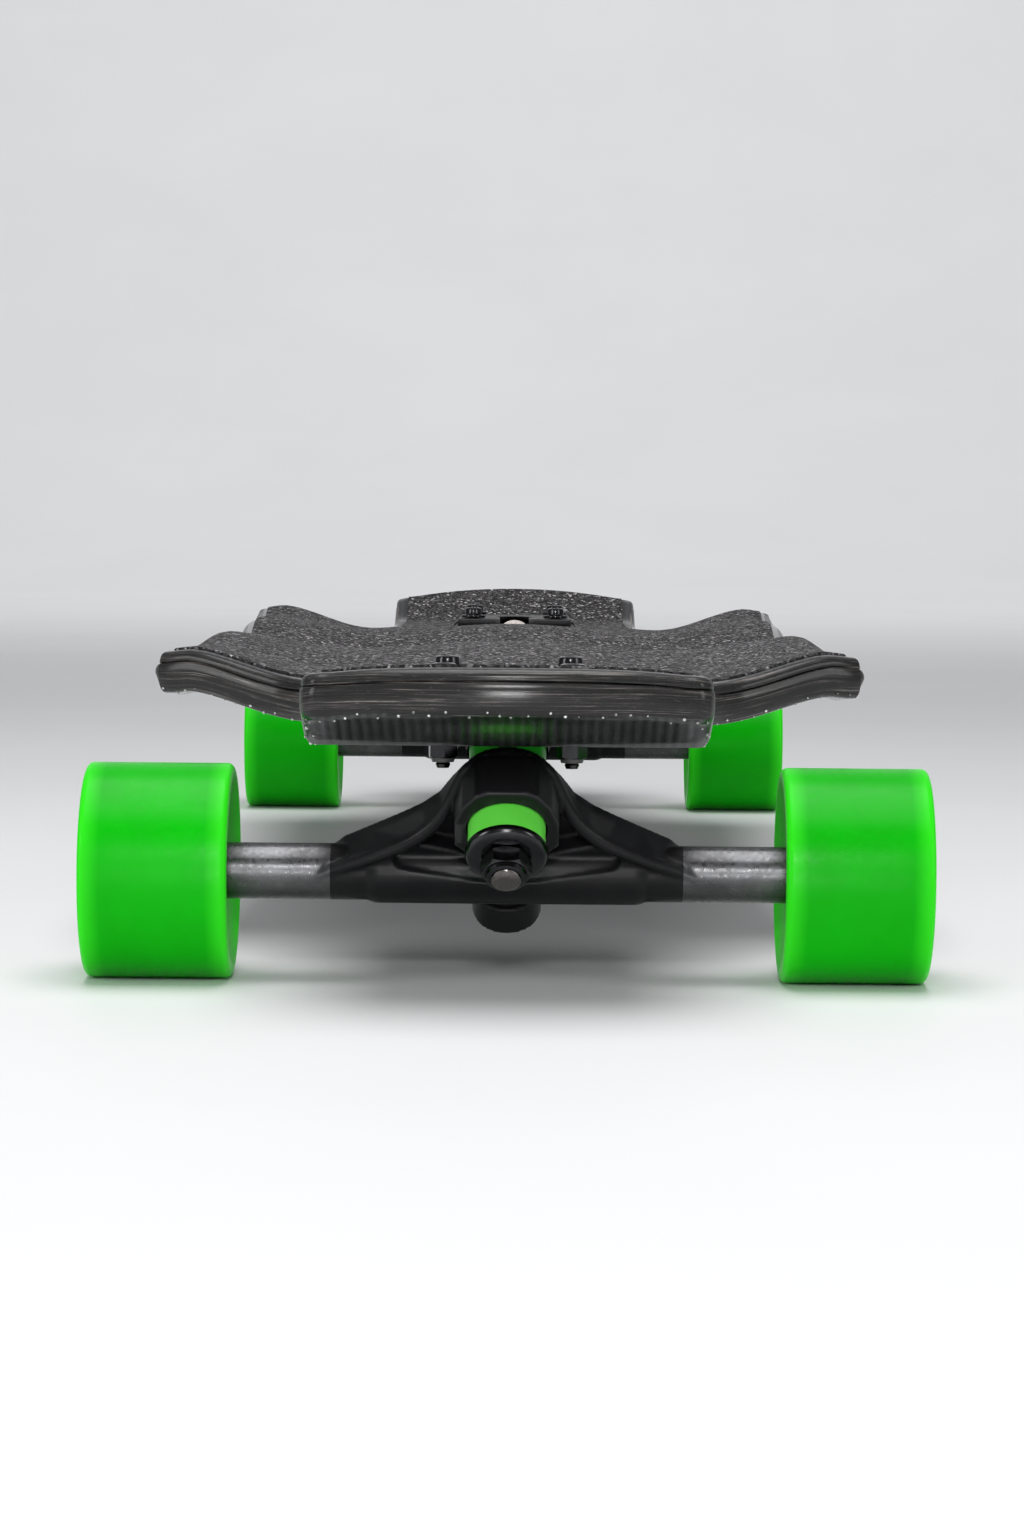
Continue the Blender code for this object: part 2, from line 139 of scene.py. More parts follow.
def joinAll(objs, name):
    clearSelection()
    for obj in objs:
        obj.select_set(True)
    bpy.context.view_layer.objects.active = objs[0]
    bpy.ops.object.join()
    return newest(name)


def smoothShade(obj, angle=35):
    use(obj)
    bpy.ops.object.shade_smooth_by_angle(angle=radians(angle))
    return obj


def bevelEdges(obj, width, segments=2, angle=35):
    bevel = obj.modifiers.new("bevel", "BEVEL")
    bevel.width, bevel.segments = mm(width), segments
    bevel.limit_method, bevel.angle_limit = "ANGLE", radians(angle)
    return applyModifiers(obj)


def turned(name, profile, sidesRound=64, closed=False, angle=35):
    # a ring about Z, extruded and scaled from point to point of a (radius, height) profile
    clearSelection()
    radius, height = profile[0]
    bpy.ops.mesh.primitive_circle_add(vertices=sidesRound, radius=mm(radius), location=(0, 0, mm(height)))
    obj = settle(newest(name))
    startEdit()
    for r, z in list(profile[1:]) + ([profile[0]] if closed else []):
        bpy.ops.mesh.extrude_edges_move(TRANSFORM_OT_translate={"value": (0, 0, mm(z - height))})
        bpy.ops.transform.resize(value=(r / radius, r / radius, 1), center_override=(0, 0, mm(z)))
        radius, height = r, z
    bpy.ops.mesh.select_all(action="SELECT")
    bpy.ops.mesh.remove_doubles(threshold=0.000002)
    if not closed:
        bpy.ops.mesh.fill_holes(sides=0)
    endEdit()
    return smoothShade(obj, angle)


def prism(name, corners, low, high):
    # an outline in X and Y, pulled up along Z
    clearSelection()
    bpy.ops.mesh.primitive_circle_add(vertices=len(corners), fill_type="NGON", location=(0, 0, 0))
    obj = newest(name)
    for vertex, corner in zip(obj.data.vertices, corners):
        vertex.co = mmPoint(*corner, low)
    startEdit()
    bpy.ops.mesh.extrude_region_move(TRANSFORM_OT_translate={"value": (0, 0, mm(high - low))})
    endEdit()
    return obj


def loft(name, rings):
    # rings of equally many (x, y, z) points, each pulled out of the one before
    clearSelection()
    bpy.ops.mesh.primitive_circle_add(vertices=len(rings[0]), fill_type="NGON", location=(0, 0, 0))
    obj = newest(name)
    for vertex, point in zip(obj.data.vertices, rings[0]):
        vertex.co = mmPoint(*point)
    startEdit()
    for before, ring in zip(rings, rings[1:]):
        bpy.ops.mesh.extrude_region_move(TRANSFORM_OT_translate={"value": (0, 0, 0)})
        bm = bmesh.from_edit_mesh(obj.data)
        starts = [mmPoint(*point) for point in before]
        for v in [v for v in bm.verts if v.select]:
            nearest = min(range(len(ring)), key=lambda k: (v.co - starts[k]).length)
            v.co = mmPoint(*ring[nearest])
        bmesh.update_edit_mesh(obj.data)
    endEdit()
    return obj


def rod(name, radius, low, high, axis="Z", sidesRound=48):
    clearSelection()
    turn = {"X": (0, pi / 2, 0), "Y": (-pi / 2, 0, 0), "Z": (0, 0, 0)}[axis]
    bpy.ops.mesh.primitive_cylinder_add(vertices=sidesRound, radius=mm(radius), depth=mm(high - low))
    obj = newest(name)
    obj.data.transform(Matrix.Translation((0, 0, mm((low + high) / 2))))
    obj.rotation_euler = turn
    return settle(obj)


def block(name, low, high):
    clearSelection()
    bpy.ops.mesh.primitive_cube_add(size=1, location=mmPoint(*[(a + b) / 2 for a, b in zip(low, high)]))
    obj = newest(name)
    obj.scale = mmPoint(*[b - a for a, b in zip(low, high)])
    return settle(obj)


def ribAlong(name, points, radius):
    # a round rib through listed points, closed at both ends
    curve = bpy.data.curves.new(name, "CURVE")
    curve.dimensions = "3D"
    curve.bevel_depth = mm(radius)
    curve.use_fill_caps = True
    curve.bevel_resolution = 4
    curve.resolution_u = 10
    spline = curve.splines.new("NURBS")
    spline.points.add(len(points) - 1)
    for place, point in zip(spline.points, points):
        place.co = (*mmPoint(*point), 1)
    spline.use_endpoint_u = True
    spline.order_u = 3
    obj = bpy.data.objects.new(name, curve)
    bpy.context.scene.collection.objects.link(obj)
    use(obj)
    bpy.ops.object.convert(target="MESH")
    startEdit()
    bpy.ops.mesh.remove_doubles(threshold=0.00001)
    bpy.ops.object.mode_set(mode="OBJECT")
    return newest(name)


def castTogether(parts, name, voxel, rounds):
    # overlapping shapes become one skin whose inner corners are softened, like a casting
    obj = joinAll(parts, name)
    remesh = obj.modifiers.new("skin", "REMESH")
    remesh.mode, remesh.voxel_size = "VOXEL", mm(voxel)
    soften = obj.modifiers.new("soften", "SMOOTH")
    soften.factor, soften.iterations = 0.5, rounds
    thin = obj.modifiers.new("thin", "DECIMATE")
    thin.ratio = 0.45
    return applyModifiers(obj)


# ---- finishes ----
def addNode(tree, kind, **values):
    made = tree.nodes.new("ShaderNode" + kind)
    for key, value in values.items():
        name = key.replace("_", " ")
        if name in made.inputs:
            made.inputs[name].default_value = value
        else:
            setattr(made, key, value)
    return made


def startMaterial(name, colour, roughness, **shaderValues):
    made = bpy.data.materials.new(name)
    made.use_nodes = True
    tree = made.node_tree
    shader = tree.nodes["Principled BSDF"]
    shader.inputs["Base Color"].default_value = (*colour, 1)
    shader.inputs["Roughness"].default_value = roughness
    for key, value in shaderValues.items():
        shader.inputs[key.replace("_", " ")].default_value = value
    where = tree.nodes.new("ShaderNodeTexCoord")
    return made, tree, shader, where.outputs["Object"]


def grain(tree, where, scale, detail=4.0, stretch=(1, 1, 1), roughness=0.55):
    mapping = addNode(tree, "Mapping")
    mapping.inputs["Scale"].default_value = stretch
    noise = addNode(tree, "TexNoise", Scale=scale, Detail=detail, Roughness=roughness)
    tree.links.new(where, mapping.inputs["Vector"])
    tree.links.new(mapping.outputs["Vector"], noise.inputs["Vector"])
    return noise.outputs["Fac"]


def ramp(tree, value, stops):
    made = tree.nodes.new("ShaderNodeValToRGB")
    while len(made.color_ramp.elements) < len(stops):
        made.color_ramp.elements.new(0.5)
    for element, (at, colour) in zip(made.color_ramp.elements, stops):
        element.position = at
        element.color = (*colour, 1) if len(colour) == 3 else (colour[0],) * 3 + (1,)
    tree.links.new(value, made.inputs["Fac"])
    return made.outputs["Color"]


def bump(tree, shader, heights):
    # one bump after another, each (height, strength, distance in mm)
    last = None
    for height, strength, distance in heights:
        made = addNode(tree, "Bump", Strength=strength, Distance=mm(distance))
        tree.links.new(height, made.inputs["Height"])
        if last:
            tree.links.new(last, made.inputs["Normal"])
        last = made.outputs["Normal"]
    tree.links.new(last, shader.inputs["Normal"])


def mixed(tree, amount, first, second):
    made = tree.nodes.new("ShaderNodeMix")
    made.data_type = "RGBA"
    tree.links.new(amount, made.inputs[0])
    for socket, value in ((made.inputs[6], first), (made.inputs[7], second)):
        if isinstance(value, tuple):
            socket.default_value = (*value, 1)
        else:
            tree.links.new(value, socket)
    return made.outputs[2]


def castUrethane(name, deep, bright, middle=None):
    # middle is the distance of a wheel's middle from the board's; its rims get a painted glow, a brighter colour
    # that stands in for light shining through the urethane
    made, tree, shader, where = startMaterial(name, bright, 0.34, Subsurface_Weight=0.1, Subsurface_Scale=0.004,
                                              Specular_IOR_Level=0.12)
    shader.inputs["Subsurface Radius"].default_value = (0.3, 1.0, 0.25)
    cloud = grain(tree, where, 26, 3)
    colour = ramp(tree, cloud, [(0.3, deep), (0.75, bright)])
    scuff = grain(tree, where, 420, 6, (1, 1, 1), 0.7)
    lathe = grain(tree, where, 300, 3)
    if middle:
        lathe = grain(tree, where, 900, 2, (1, 0.01, 0.01))
        apart = tree.nodes.new("ShaderNodeSeparateXYZ")
        tree.links.new(where, apart.inputs["Vector"])
        value = apart.outputs["X"]
        for operation, amount in (("ABSOLUTE", 0), ("SUBTRACT", mm(middle)), ("ABSOLUTE", 0), ("MULTIPLY", 30)):
            step = addNode(tree, "Math", operation=operation)
            tree.links.new(value, step.inputs[0])
            step.inputs[1].default_value = amount
            value = step.outputs["Value"]
        # painted light: the rims' colour is brightened to stand in for light shining through them
        rim = ramp(tree, value, [(0.50, (0.0,)), (0.72, (1.0,))])
        colour = mixed(tree, rim, colour, (0.03, 0.72, 0.012))
    tree.links.new(colour, shader.inputs["Base Color"])
    tree.links.new(ramp(tree, scuff, [(0.35, (0.28,)), (0.7, (0.44,))]), shader.inputs["Roughness"])
    bump(tree, shader, [(lathe, 0.16, 0.12), (scuff, 0.12, 0.1)])
    return made


def blackCasting(name):
    made, tree, shader, where = startMaterial(name, (0.008, 0.008, 0.009), 0.42, Specular_IOR_Level=0.2)
    skin = grain(tree, where, 850, 5)
    patch = grain(tree, where, 45, 4)
    # sharp convex edges get a lighter colour: a painted edge highlight
    edgeTone = tree.nodes.new("ShaderNodeNewGeometry").outputs["Pointiness"]
    edge = ramp(tree, edgeTone, [(0.515, (0,)), (0.58, (1,))])
    shade = ramp(tree, patch, [(0.3, (0.004, 0.004, 0.005)), (0.7, (0.009, 0.009, 0.010))])
    tree.links.new(mixed(tree, edge, shade, (0.035, 0.035, 0.037)), shader.inputs["Base Color"])
    tree.links.new(ramp(tree, patch, [(0.3, (0.3,)), (0.7, (0.44,))]), shader.inputs["Roughness"])
    bump(tree, shader, [(skin, 0.3, 0.12), (patch, 0.1, 0.4)])
    return made


def metalFinish(name, colour, roughness, scratch=(1, 1, 1), metallic=1.0):
    made, tree, shader, where = startMaterial(name, colour, roughness, Metallic=metallic)
    brushed = grain(tree, where, 700, 4, scratch)
    stain = grain(tree, where, 90, 3)
    dark = tuple(c * 0.6 for c in colour)
    tree.links.new(ramp(tree, stain, [(0.3, dark), (0.65, colour)]), shader.inputs["Base Color"])
    low, high = roughness * 0.75, min(0.9, roughness * 1.5)
    tree.links.new(ramp(tree, brushed, [(0.3, (low,)), (0.7, (high,))]), shader.inputs["Roughness"])
    bump(tree, shader, [(brushed, 0.12, 0.06)])
    return made


def mouldedPlastic(name, colour, roughness):
    made, tree, shader, where = startMaterial(name, colour, roughness, Specular_IOR_Level=0.45)
    skin = grain(tree, where, 1400, 3)
    cloud = grain(tree, where, 60, 2)
    light = tuple(min(1, c * 1.7 + 0.004) for c in colour)
    tree.links.new(ramp(tree, cloud, [(0.3, colour), (0.75, light)]), shader.inputs["Base Color"])
    tree.links.new(ramp(tree, skin, [(0.3, (roughness * 0.85,)), (0.7, (min(1, roughness * 1.2),))]),
                   shader.inputs["Roughness"])
    bump(tree, shader, [(skin, 0.18, 0.06)])
    return made


def gripGrit(name):
    made, tree, shader, where = startMaterial(name, (0.03, 0.03, 0.032), 0.85, Specular_IOR_Level=0.3)
    crystals = addNode(tree, "TexVoronoi", Scale=950.0)
    tree.links.new(where, crystals.inputs["Vector"])
    apart = tree.nodes.new("ShaderNodeSeparateColor")
    tree.links.new(crystals.outputs["Color"], apart.inputs["Color"])
    # random tone per grain; the brightest grains are painted sparkle glints
    shade = ramp(tree, apart.outputs["Red"], [(0.0, (0.006, 0.006, 0.006)), (0.5, (0.028, 0.026, 0.027)),
                                              (0.8, (0.075, 0.07, 0.073)), (0.94, (0.2, 0.19, 0.195)),
                                              (1.0, (0.6, 0.58, 0.59))])
    coarse = grain(tree, where, 1500, 5, (1, 1, 1), 0.75)
    cloud = grain(tree, where, 35, 4)
    dust = ramp(tree, cloud, [(0.3, (0.3,)), (0.75, (0.0,))])
    tree.links.new(mixed(tree, dust, shade, (0.012, 0.012, 0.013)), shader.inputs["Base Color"])
    dull = ramp(tree, apart.outputs["Green"], [(0.1, (0.4,)), (0.5, (0.95,))])
    tree.links.new(dull, shader.inputs["Roughness"])
    bump(tree, shader, [(crystals.outputs["Distance"], 1.0, 0.5), (coarse, 0.6, 0.3)])
    return made


def laminateGloss(name):
    # clear-coated cloth; its ribs run along the board and show on the underside
    made, tree, shader, where = startMaterial(name, (0.006, 0.006, 0.007), 0.3, Coat_Weight=0.6,
                                              Coat_Roughness=0.08, Specular_IOR_Level=0.25)
    ribs = addNode(tree, "TexWave", Scale=98.0, Distortion=0.6, Detail=2.0, Detail_Scale=8.0)
    ribs.bands_direction = "X"
    tree.links.new(where, ribs.inputs["Vector"])
    weave = grain(tree, where, 650, 3, (1, 0.15, 1))
    shade = ramp(tree, ribs.outputs["Fac"], [(0.3, (0.002, 0.002, 0.002)), (0.8, (0.035, 0.035, 0.037))])
    tree.links.new(mixed(tree, weave, shade, (0.010, 0.010, 0.011)), shader.inputs["Base Color"])
    bump(tree, shader, [(ribs.outputs["Fac"], 0.45, 0.35), (weave, 0.1, 0.1)])
    return made


def laminateEdge(name):
    # plies seen end on: thin streaks that follow the edge
    made, tree, shader, where = startMaterial(name, (0.015, 0.015, 0.016), 0.4, Coat_Weight=0.4,
                                              Coat_Roughness=0.18, Specular_IOR_Level=0.2)
    apart = tree.nodes.new("ShaderNodeSeparateXYZ")
    tree.links.new(where, apart.inputs["Vector"])
    plies = tree.nodes.new("ShaderNodeAttribute")
    plies.attribute_name = "plies"  # depth below the top of the board
    along = tree.nodes.new("ShaderNodeCombineXYZ")
    for axis, value in (("X", apart.outputs["X"]), ("Y", apart.outputs["Y"]), ("Z", plies.outputs["Fac"])):
        tree.links.new(value, along.inputs[axis])
    along = along.outputs["Vector"]
    streaks = grain(tree, along, 40, 8, (0.5, 0.5, 48), 0.8)
    broken = grain(tree, along, 60, 4, (1, 1, 8), 0.6)
    specks = grain(tree, where, 900, 4, (0.5, 0.5, 1.4), 0.7)
    shade = ramp(tree, streaks, [(0.42, (0.002, 0.002, 0.002)), (0.50, (0.008, 0.007, 0.007)),
                                 (0.56, (0.04, 0.035, 0.033)), (0.66, (0.27, 0.245, 0.23))])
    edgeTone = mixed(tree, ramp(tree, broken, [(0.42, (0.0,)), (0.6, (0.85,))]), shade, (0.005, 0.005, 0.005))
    bright = ramp(tree, specks, [(0.62, (0.0,)), (0.78, (0.5,))])
    tree.links.new(mixed(tree, bright, edgeTone, (0.16, 0.15, 0.15)), shader.inputs["Base Color"])
    tree.links.new(ramp(tree, streaks, [(0.35, (0.28,)), (0.7, (0.55,))]), shader.inputs["Roughness"])
    bump(tree, shader, [(streaks, 0.7, 0.4), (specks, 0.3, 0.12)])
    return made


def sparkleBeadGloss(name):
    made, tree, shader, where = startMaterial(name, (0.35, 0.35, 0.36), 0.08, Coat_Weight=1.0,
                                              Specular_IOR_Level=0.9)
    cloud = grain(tree, where, 500, 2)
    # pale, partly whitish colour: painted glints on the beads
    tree.links.new(ramp(tree, cloud, [(0.35, (0.06, 0.06, 0.06)), (0.65, (0.75, 0.75, 0.76))]),
                   shader.inputs["Base Color"])
    return made


finishes = {
    "wheelGreen": castUrethane("wheel_urethane", (0.0, 0.35, 0.0), (0.0, 0.44, 0.001), 112.8),
    # one urethane in two copies: painted shade makes the board bushing under the deck darker, painted light
    # makes the road bushing lighter
    "boardBushingShadedGreen": castUrethane("board_bushing_shaded_urethane", (0.02, 0.40, 0.02), (0.04, 0.52, 0.03)),
    "roadBushingLitGreen": castUrethane("road_bushing_lit_urethane", (0.10, 0.66, 0.05), (0.17, 0.80, 0.09)),
    "casting": blackCasting("black_casting"),
    "satinCasting": metalFinish("satin_casting", (0.13, 0.13, 0.135), 0.3),
    "steel": metalFinish("plated_steel", (0.30, 0.30, 0.31), 0.18),
    "darkSteel": metalFinish("dark_nickel_steel", (0.06, 0.06, 0.064), 0.18),
    "kingpinSteel": metalFinish("kingpin_steel", (0.22, 0.20, 0.19), 0.22),
    "axleSteel": metalFinish("axle_steel", (0.5, 0.5, 0.51), 0.3, (1, 0.2, 0.2)),
    "cupPlastic": mouldedPlastic("cup_plastic", (0.02, 0.02, 0.02), 0.5),
    "corePlastic": mouldedPlastic("core_plastic", (0.016, 0.016, 0.017), 0.4),
    "nylon": mouldedPlastic("nylon_ring", (0.07, 0.07, 0.068), 0.4),
    "grit": gripGrit("grip_grit"),
    "laminate": laminateGloss("laminate_gloss"),
    "laminateEdge": laminateEdge("laminate_edge"),
    "resin": sparkleBeadGloss("sparkle_bead_gloss"),
}
print("finishes:", len(finishes))


def finishPiece(obj, body, finish, nodes=(), others=()):
    # finish, CAD body and the CAD nodes that it stands for; others are finishes for further material slots
    obj.data.materials.clear()
    for key in (finish, *others):
        obj.data.materials.append(finishes[key])
    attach(obj, body)
    if nodes:
        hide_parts(*nodes)
    return obj


# ---- deck ----
deckShape = {
    "length": 940, "wheelbase": 750, "thickness": 15, "top": 94,
    "neckHalf": 63.5, "wingHalf": 126, "waistHalf": 118, "noseArc": 143, "noseHalf": 54,
    "rim": 6, "rows": 250, "columns": 72,  # width of the edge, and the faces of the grid inside it
    "hump": 7, "trough": 9, "channelAt": 61, "channelDrop": 3.3, "railRise": 6.8,
    "frontFlare": 6.5, "rearFlare": 9, "flareFrom": 68, "flareWidth": 46, "flareAt": 110, "flareSpread": 38,
    "noseRise": 11.5, "tailSlope": 0.404, "railRoll": 2.6, "railRollFrom": 109,
    # the edge from the top down: (outwards, depth); the rails beside the feet are rolled, the ends are upright
    "rolledEdge": [(0, 0), (1.0, 0.3), (2.1, 1.0), (3.1, 1.9), (3.9, 2.8), (4.5, 3.7), (4.6, 4.2), (4.2, 4.6),
                   (5.0, 4.9), (5.6, 5.7), (6.0, 6.8), (6.0, 7.9), (5.5, 9.2), (4.7, 10.7), (3.5, 12.3),
                   (2.3, 13.6), (1.1, 14.6), (0, 15)],
    "edge": [(0, 0), (2.0, 0.1), (3.6, 0.45), (4.7, 1.1), (5.3, 2.0), (5.6, 3.2), (5.5, 3.75), (4.8, 4.1),
             (5.6, 4.5), (5.95, 5.4), (6.05, 7.2), (6.05, 9.0), (5.95, 10.8), (5.7, 12.2), (5.1, 13.5),
             (4.1, 14.5), (2.4, 15), (0, 15)],
}


def smooth(t):
    t = min(1, max(0, t))
    return t * t * (3 - 2 * t)


def kick(beyond, start, slope, bend=16):
    d = max(0, beyond - start)
    return slope * (d * d / (2 * bend) if d < bend else d - bend / 2)


def deckHeight(x, y, s=deckShape):
    across, inward = abs(x), s["wheelbase"] / 2 - abs(y)
    height = s["top"] + s["hump"] * smooth((inward - 58) / 207) - s["trough"] * smooth((inward - 265) / 110)
    concave = -s["channelDrop"] * sin(min(1, across / s["channelAt"]) * pi / 2) ** 2
    concave += s["railRise"] * smooth((across - s["channelAt"]) / 60)
    concave -= s["railRoll"] * smooth((across - s["railRollFrom"]) / 12)
    height += concave * smooth((inward - 62) / 110)
    flare = s["frontFlare"] if y < 0 else s["rearFlare"]
    height += (flare * smooth((across - s["flareFrom"]) / s["flareWidth"])
               * exp(-(((inward - s["flareAt"]) / s["flareSpread"]) ** 2)))
    return height + (s["noseRise"] * smooth((-inward - 46) / 45) if y < 0 else kick(-inward, 40, s["tailSlope"]))


def filleted(corners):
    # (x, y, radius, steps) corners, each rounded by its arc
    path = []
    for i, (x, y, radius, steps) in enumerate(corners):
        here = Vector((x, y))
        if not radius:
            path.append(here)
            continue
        before = (Vector(corners[i - 1][:2]) - here).normalized()
        after = (Vector(corners[i + 1][:2]) - here).normalized()
        half = before.angle(after) / 2
        centre = here + (before + after).normalized() * radius / sin(half)
        start, sweep = here + before * radius / tan(half) - centre, pi - 2 * half
        turn = 1 if before.cross(after) < 0 else -1
        path += [centre + Matrix.Rotation(turn * sweep * k / steps, 2) @ start for k in range(steps + 1)]
    return path


def rightOutline(s=deckShape):
    # the right half of the outline from the middle of the nose to the middle of the tail, finely stepped
    tip, axle = -s["length"] / 2, -s["wheelbase"] / 2
    arc = []
    for k in range(41):
        angle = asin(s["noseHalf"] / s["noseArc"]) * k / 40
        arc.append(Vector((s["noseArc"] * sin(angle), tip + s["noseArc"] * (1 - cos(angle)))))
    quarter = arc + filleted([
        (*arc[-1], 0, 0), (s["neckHalf"], tip + 12.5, 7, 16), (s["neckHalf"], axle + 83, 40, 24),
        (s["wingHalf"], axle + 116, 7, 14), (121.5, axle + 265, 500, 10), (s["waistHalf"], 0, 0, 0)])[1:]
    return quarter + [Vector((p.x, -p.y)) for p in reversed(quarter[:-1])]


def alongPath(path, count, first, last):
    # count + 1 evenly spaced (point, outward normal) between two lengths along the path
    lengths = [0.0]
    for a, b in zip(path, path[1:]):
        lengths.append(lengths[-1] + (b - a).length)
    found, k = [], 0
    for i in range(count + 1):
        want = first + (last - first) * i / count
        while k < len(path) - 2 and lengths[k + 1] < want:
            k += 1
        a, b = path[k], path[k + 1]
        t = (want - lengths[k]) / max(1e-9, lengths[k + 1] - lengths[k])
        direction = (b - a).normalized()
        found.append((a + (b - a) * t, Vector((direction.y, -direction.x))))
    return found


def deckGrid(name, inset, s=deckShape):
    # a grid primitive pulled to the outline; returns it and the outward direction at each edge vertex
    path = rightOutline(s)
    total = sum((b - a).length for a, b in zip(path, path[1:]))
    corner = s["noseArc"] * asin(s["noseHalf"] / s["noseArc"]) + 5.18  # length to the middle of the nose corner
    rows, columns = s["rows"], s["columns"]
    side = alongPath(path, rows, corner, total - corner)
    front = alongPath(path, columns // 2, 0, corner)
    tips = [front, [(Vector((p.x, -p.y)), Vector((n.x, -n.y))) for p, n in front]]
    clearSelection()
    bpy.ops.mesh.primitive_grid_add(x_subdivisions=columns, y_subdivisions=rows, size=1)
    obj = newest(name)
    outward = {}
    for v in obj.data.vertices:
        i = round((v.co.x + 0.5) * columns)
        j = round((v.co.y + 0.5) * rows)
        mirror, k = (1, i - columns // 2) if i >= columns // 2 else (-1, columns // 2 - i)
        edge, normal = side[j]
        edge = edge - normal * inset
        near = tips[0] if j < rows / 2 else tips[1]
        tipPoint, tipNormal = near[k]
        tipPoint = tipPoint - tipNormal * inset
        cornerPoint = near[-1][0] - near[-1][1] * inset
        fraction = tipPoint.x / cornerPoint.x
        nearness = 1 - smooth(abs(edge.y - cornerPoint.y) / 45)
        y = edge.y + (tipPoint.y - cornerPoint.y) * nearness
        v.co = mmPoint(mirror * fraction * edge.x, y, 0)
        if i in (0, columns):
            outward[v.index] = Vector((mirror * normal.x, normal.y))
        elif j in (0, rows):
            outward[v.index] = Vector((mirror * tipNormal.x, tipNormal.y))
    return obj, outward


def edgePoint(k, y, outward, s=deckShape):
    # one point of the edge's section, as (outwards, depth): rolled on the rails, upright elsewhere
    rolled = smooth((abs(outward.x) - 0.72) / 0.26) * smooth((s["wheelbase"] / 2 - abs(y) - 104) / 14)
    (out, depth), (outRolled, depthRolled) = s["edge"][k], s["rolledEdge"][k]
    return out + rolled * (outRolled - out), depth + rolled * (depthRolled - depth)


def spotKey(point):
    # tells the vertices that stand above one another
    return (round(point.x, 7), round(point.y, 7))


def buildDeck(s=deckShape):
    obj, outward = deckGrid("deck_board", s["rim"])
    outwards = {spotKey(obj.data.vertices[i].co): normal for i, normal in outward.items()}
    use(obj)
    startEdit()
    bpy.ops.mesh.extrude_region_move(TRANSFORM_OT_translate={"value": (0, 0, mm(-s["thickness"]))})
    bm = bmesh.from_edit_mesh(obj.data)
    for f in bm.faces:
        f.select_set(False)
    for e in bm.edges:
        e.select_set(abs(e.verts[0].co.z - e.verts[1].co.z) > mm(1))
    bmesh.update_edit_mesh(obj.data)
    bpy.ops.mesh.subdivide(number_cuts=len(s["edge"]) - 2)  # the wall gets a row for each point of the edge
    bm = bmesh.from_edit_mesh(obj.data)
    steps = len(s["edge"]) - 1
    for v in bm.verts:
        x, y, depth = v.co.x * 1000, v.co.y * 1000, -v.co.z * 1000
        if 0.01 < depth < s["thickness"] - 0.01:
            n = outwards[spotKey(v.co)]
            out, depth = edgePoint(round(depth / s["thickness"] * steps), y, n)
            v.co.x, v.co.y = mm(x + n.x * out), mm(y + n.y * out)
        v.co.z = mm(deckHeight(x, y) - depth)
    endEdit()
    return obj


def truckMatrix(end):
    # from a truck's own frame, whose end of the board lies towards -Y, to its place
    sign = ends[end]
    turn = Matrix.Rotation(0 if sign < 0 else pi, 4, "Z")
    return Matrix.Translation(mmPoint(0, sign * deckShape["wheelbase"] / 2, 0)) @ turn


cutOut = {"wideHalf": 21.3, "wideIn": 37, "wideOut": 12.5, "narrowHalf": 15.5, "narrowOut": 26,
          "boltHalf": 20.65, "boltIn": 44, "boltOut": 19.5, "hole": 2.9}
boltSpots = [(x, y) for x in (-cutOut["boltHalf"], cutOut["boltHalf"])
             for y in (-cutOut["boltOut"], cutOut["boltIn"])]


def deckCutter(s=cutOut):
    # the slot that a truck drops through and its bolt holes, at both ends
    wide, narrow = s["wideHalf"], s["narrowHalf"]
    half = [(wide, s["wideIn"]), (wide, -s["wideOut"]), (narrow, -s["wideOut"]), (narrow, -s["narrowOut"])]
    cutters = []
    for end in ends:
        cutters.append(settle(prism("slot_cutter", mirrored(half), 60, 120), truckMatrix(end)))
        for x, y in boltSpots:
            spot = truckMatrix(end) @ Matrix.Translation(mmPoint(x, y, 0))
            cutters.append(settle(rod("hole_cutter", s["hole"], 60, 120), spot))
    return joinAll(cutters, "deck_cutter")


board = boolean(buildDeck(), deckCutter())
smoothShade(board, 40)
finishPiece(board, "deck", "laminate", ["deck"], ["laminateEdge"])
plies = board.data.attributes.new("plies", "FLOAT", "POINT")  # the streaks of the edge follow this depth
for v in board.data.vertices:
    plies.data[v.index].value = mm(deckHeight(v.co.x * 1000, v.co.y * 1000)) - v.co.z
for face in board.data.polygons:
    top = deckHeight(face.center.x * 1000, face.center.y * 1000) - face.center.z * 1000
    upright = abs(face.normal.z) < 0.93 and 0.3 < top < deckShape["thickness"] - 0.4
    inSlot = abs(face.center.x) < 0.023 and abs(abs(face.center.y) - 0.37) < 0.05
    face.material_index = 1 if upright and not inSlot else 0
print("deck:", len(board.data.polygons), "faces")

beadShape = {"spacing": 5.5, "jitter": 1.6, "smallest": 0.3, "largest": 0.62, "edgePoints": (14, 15, 15, 16)}


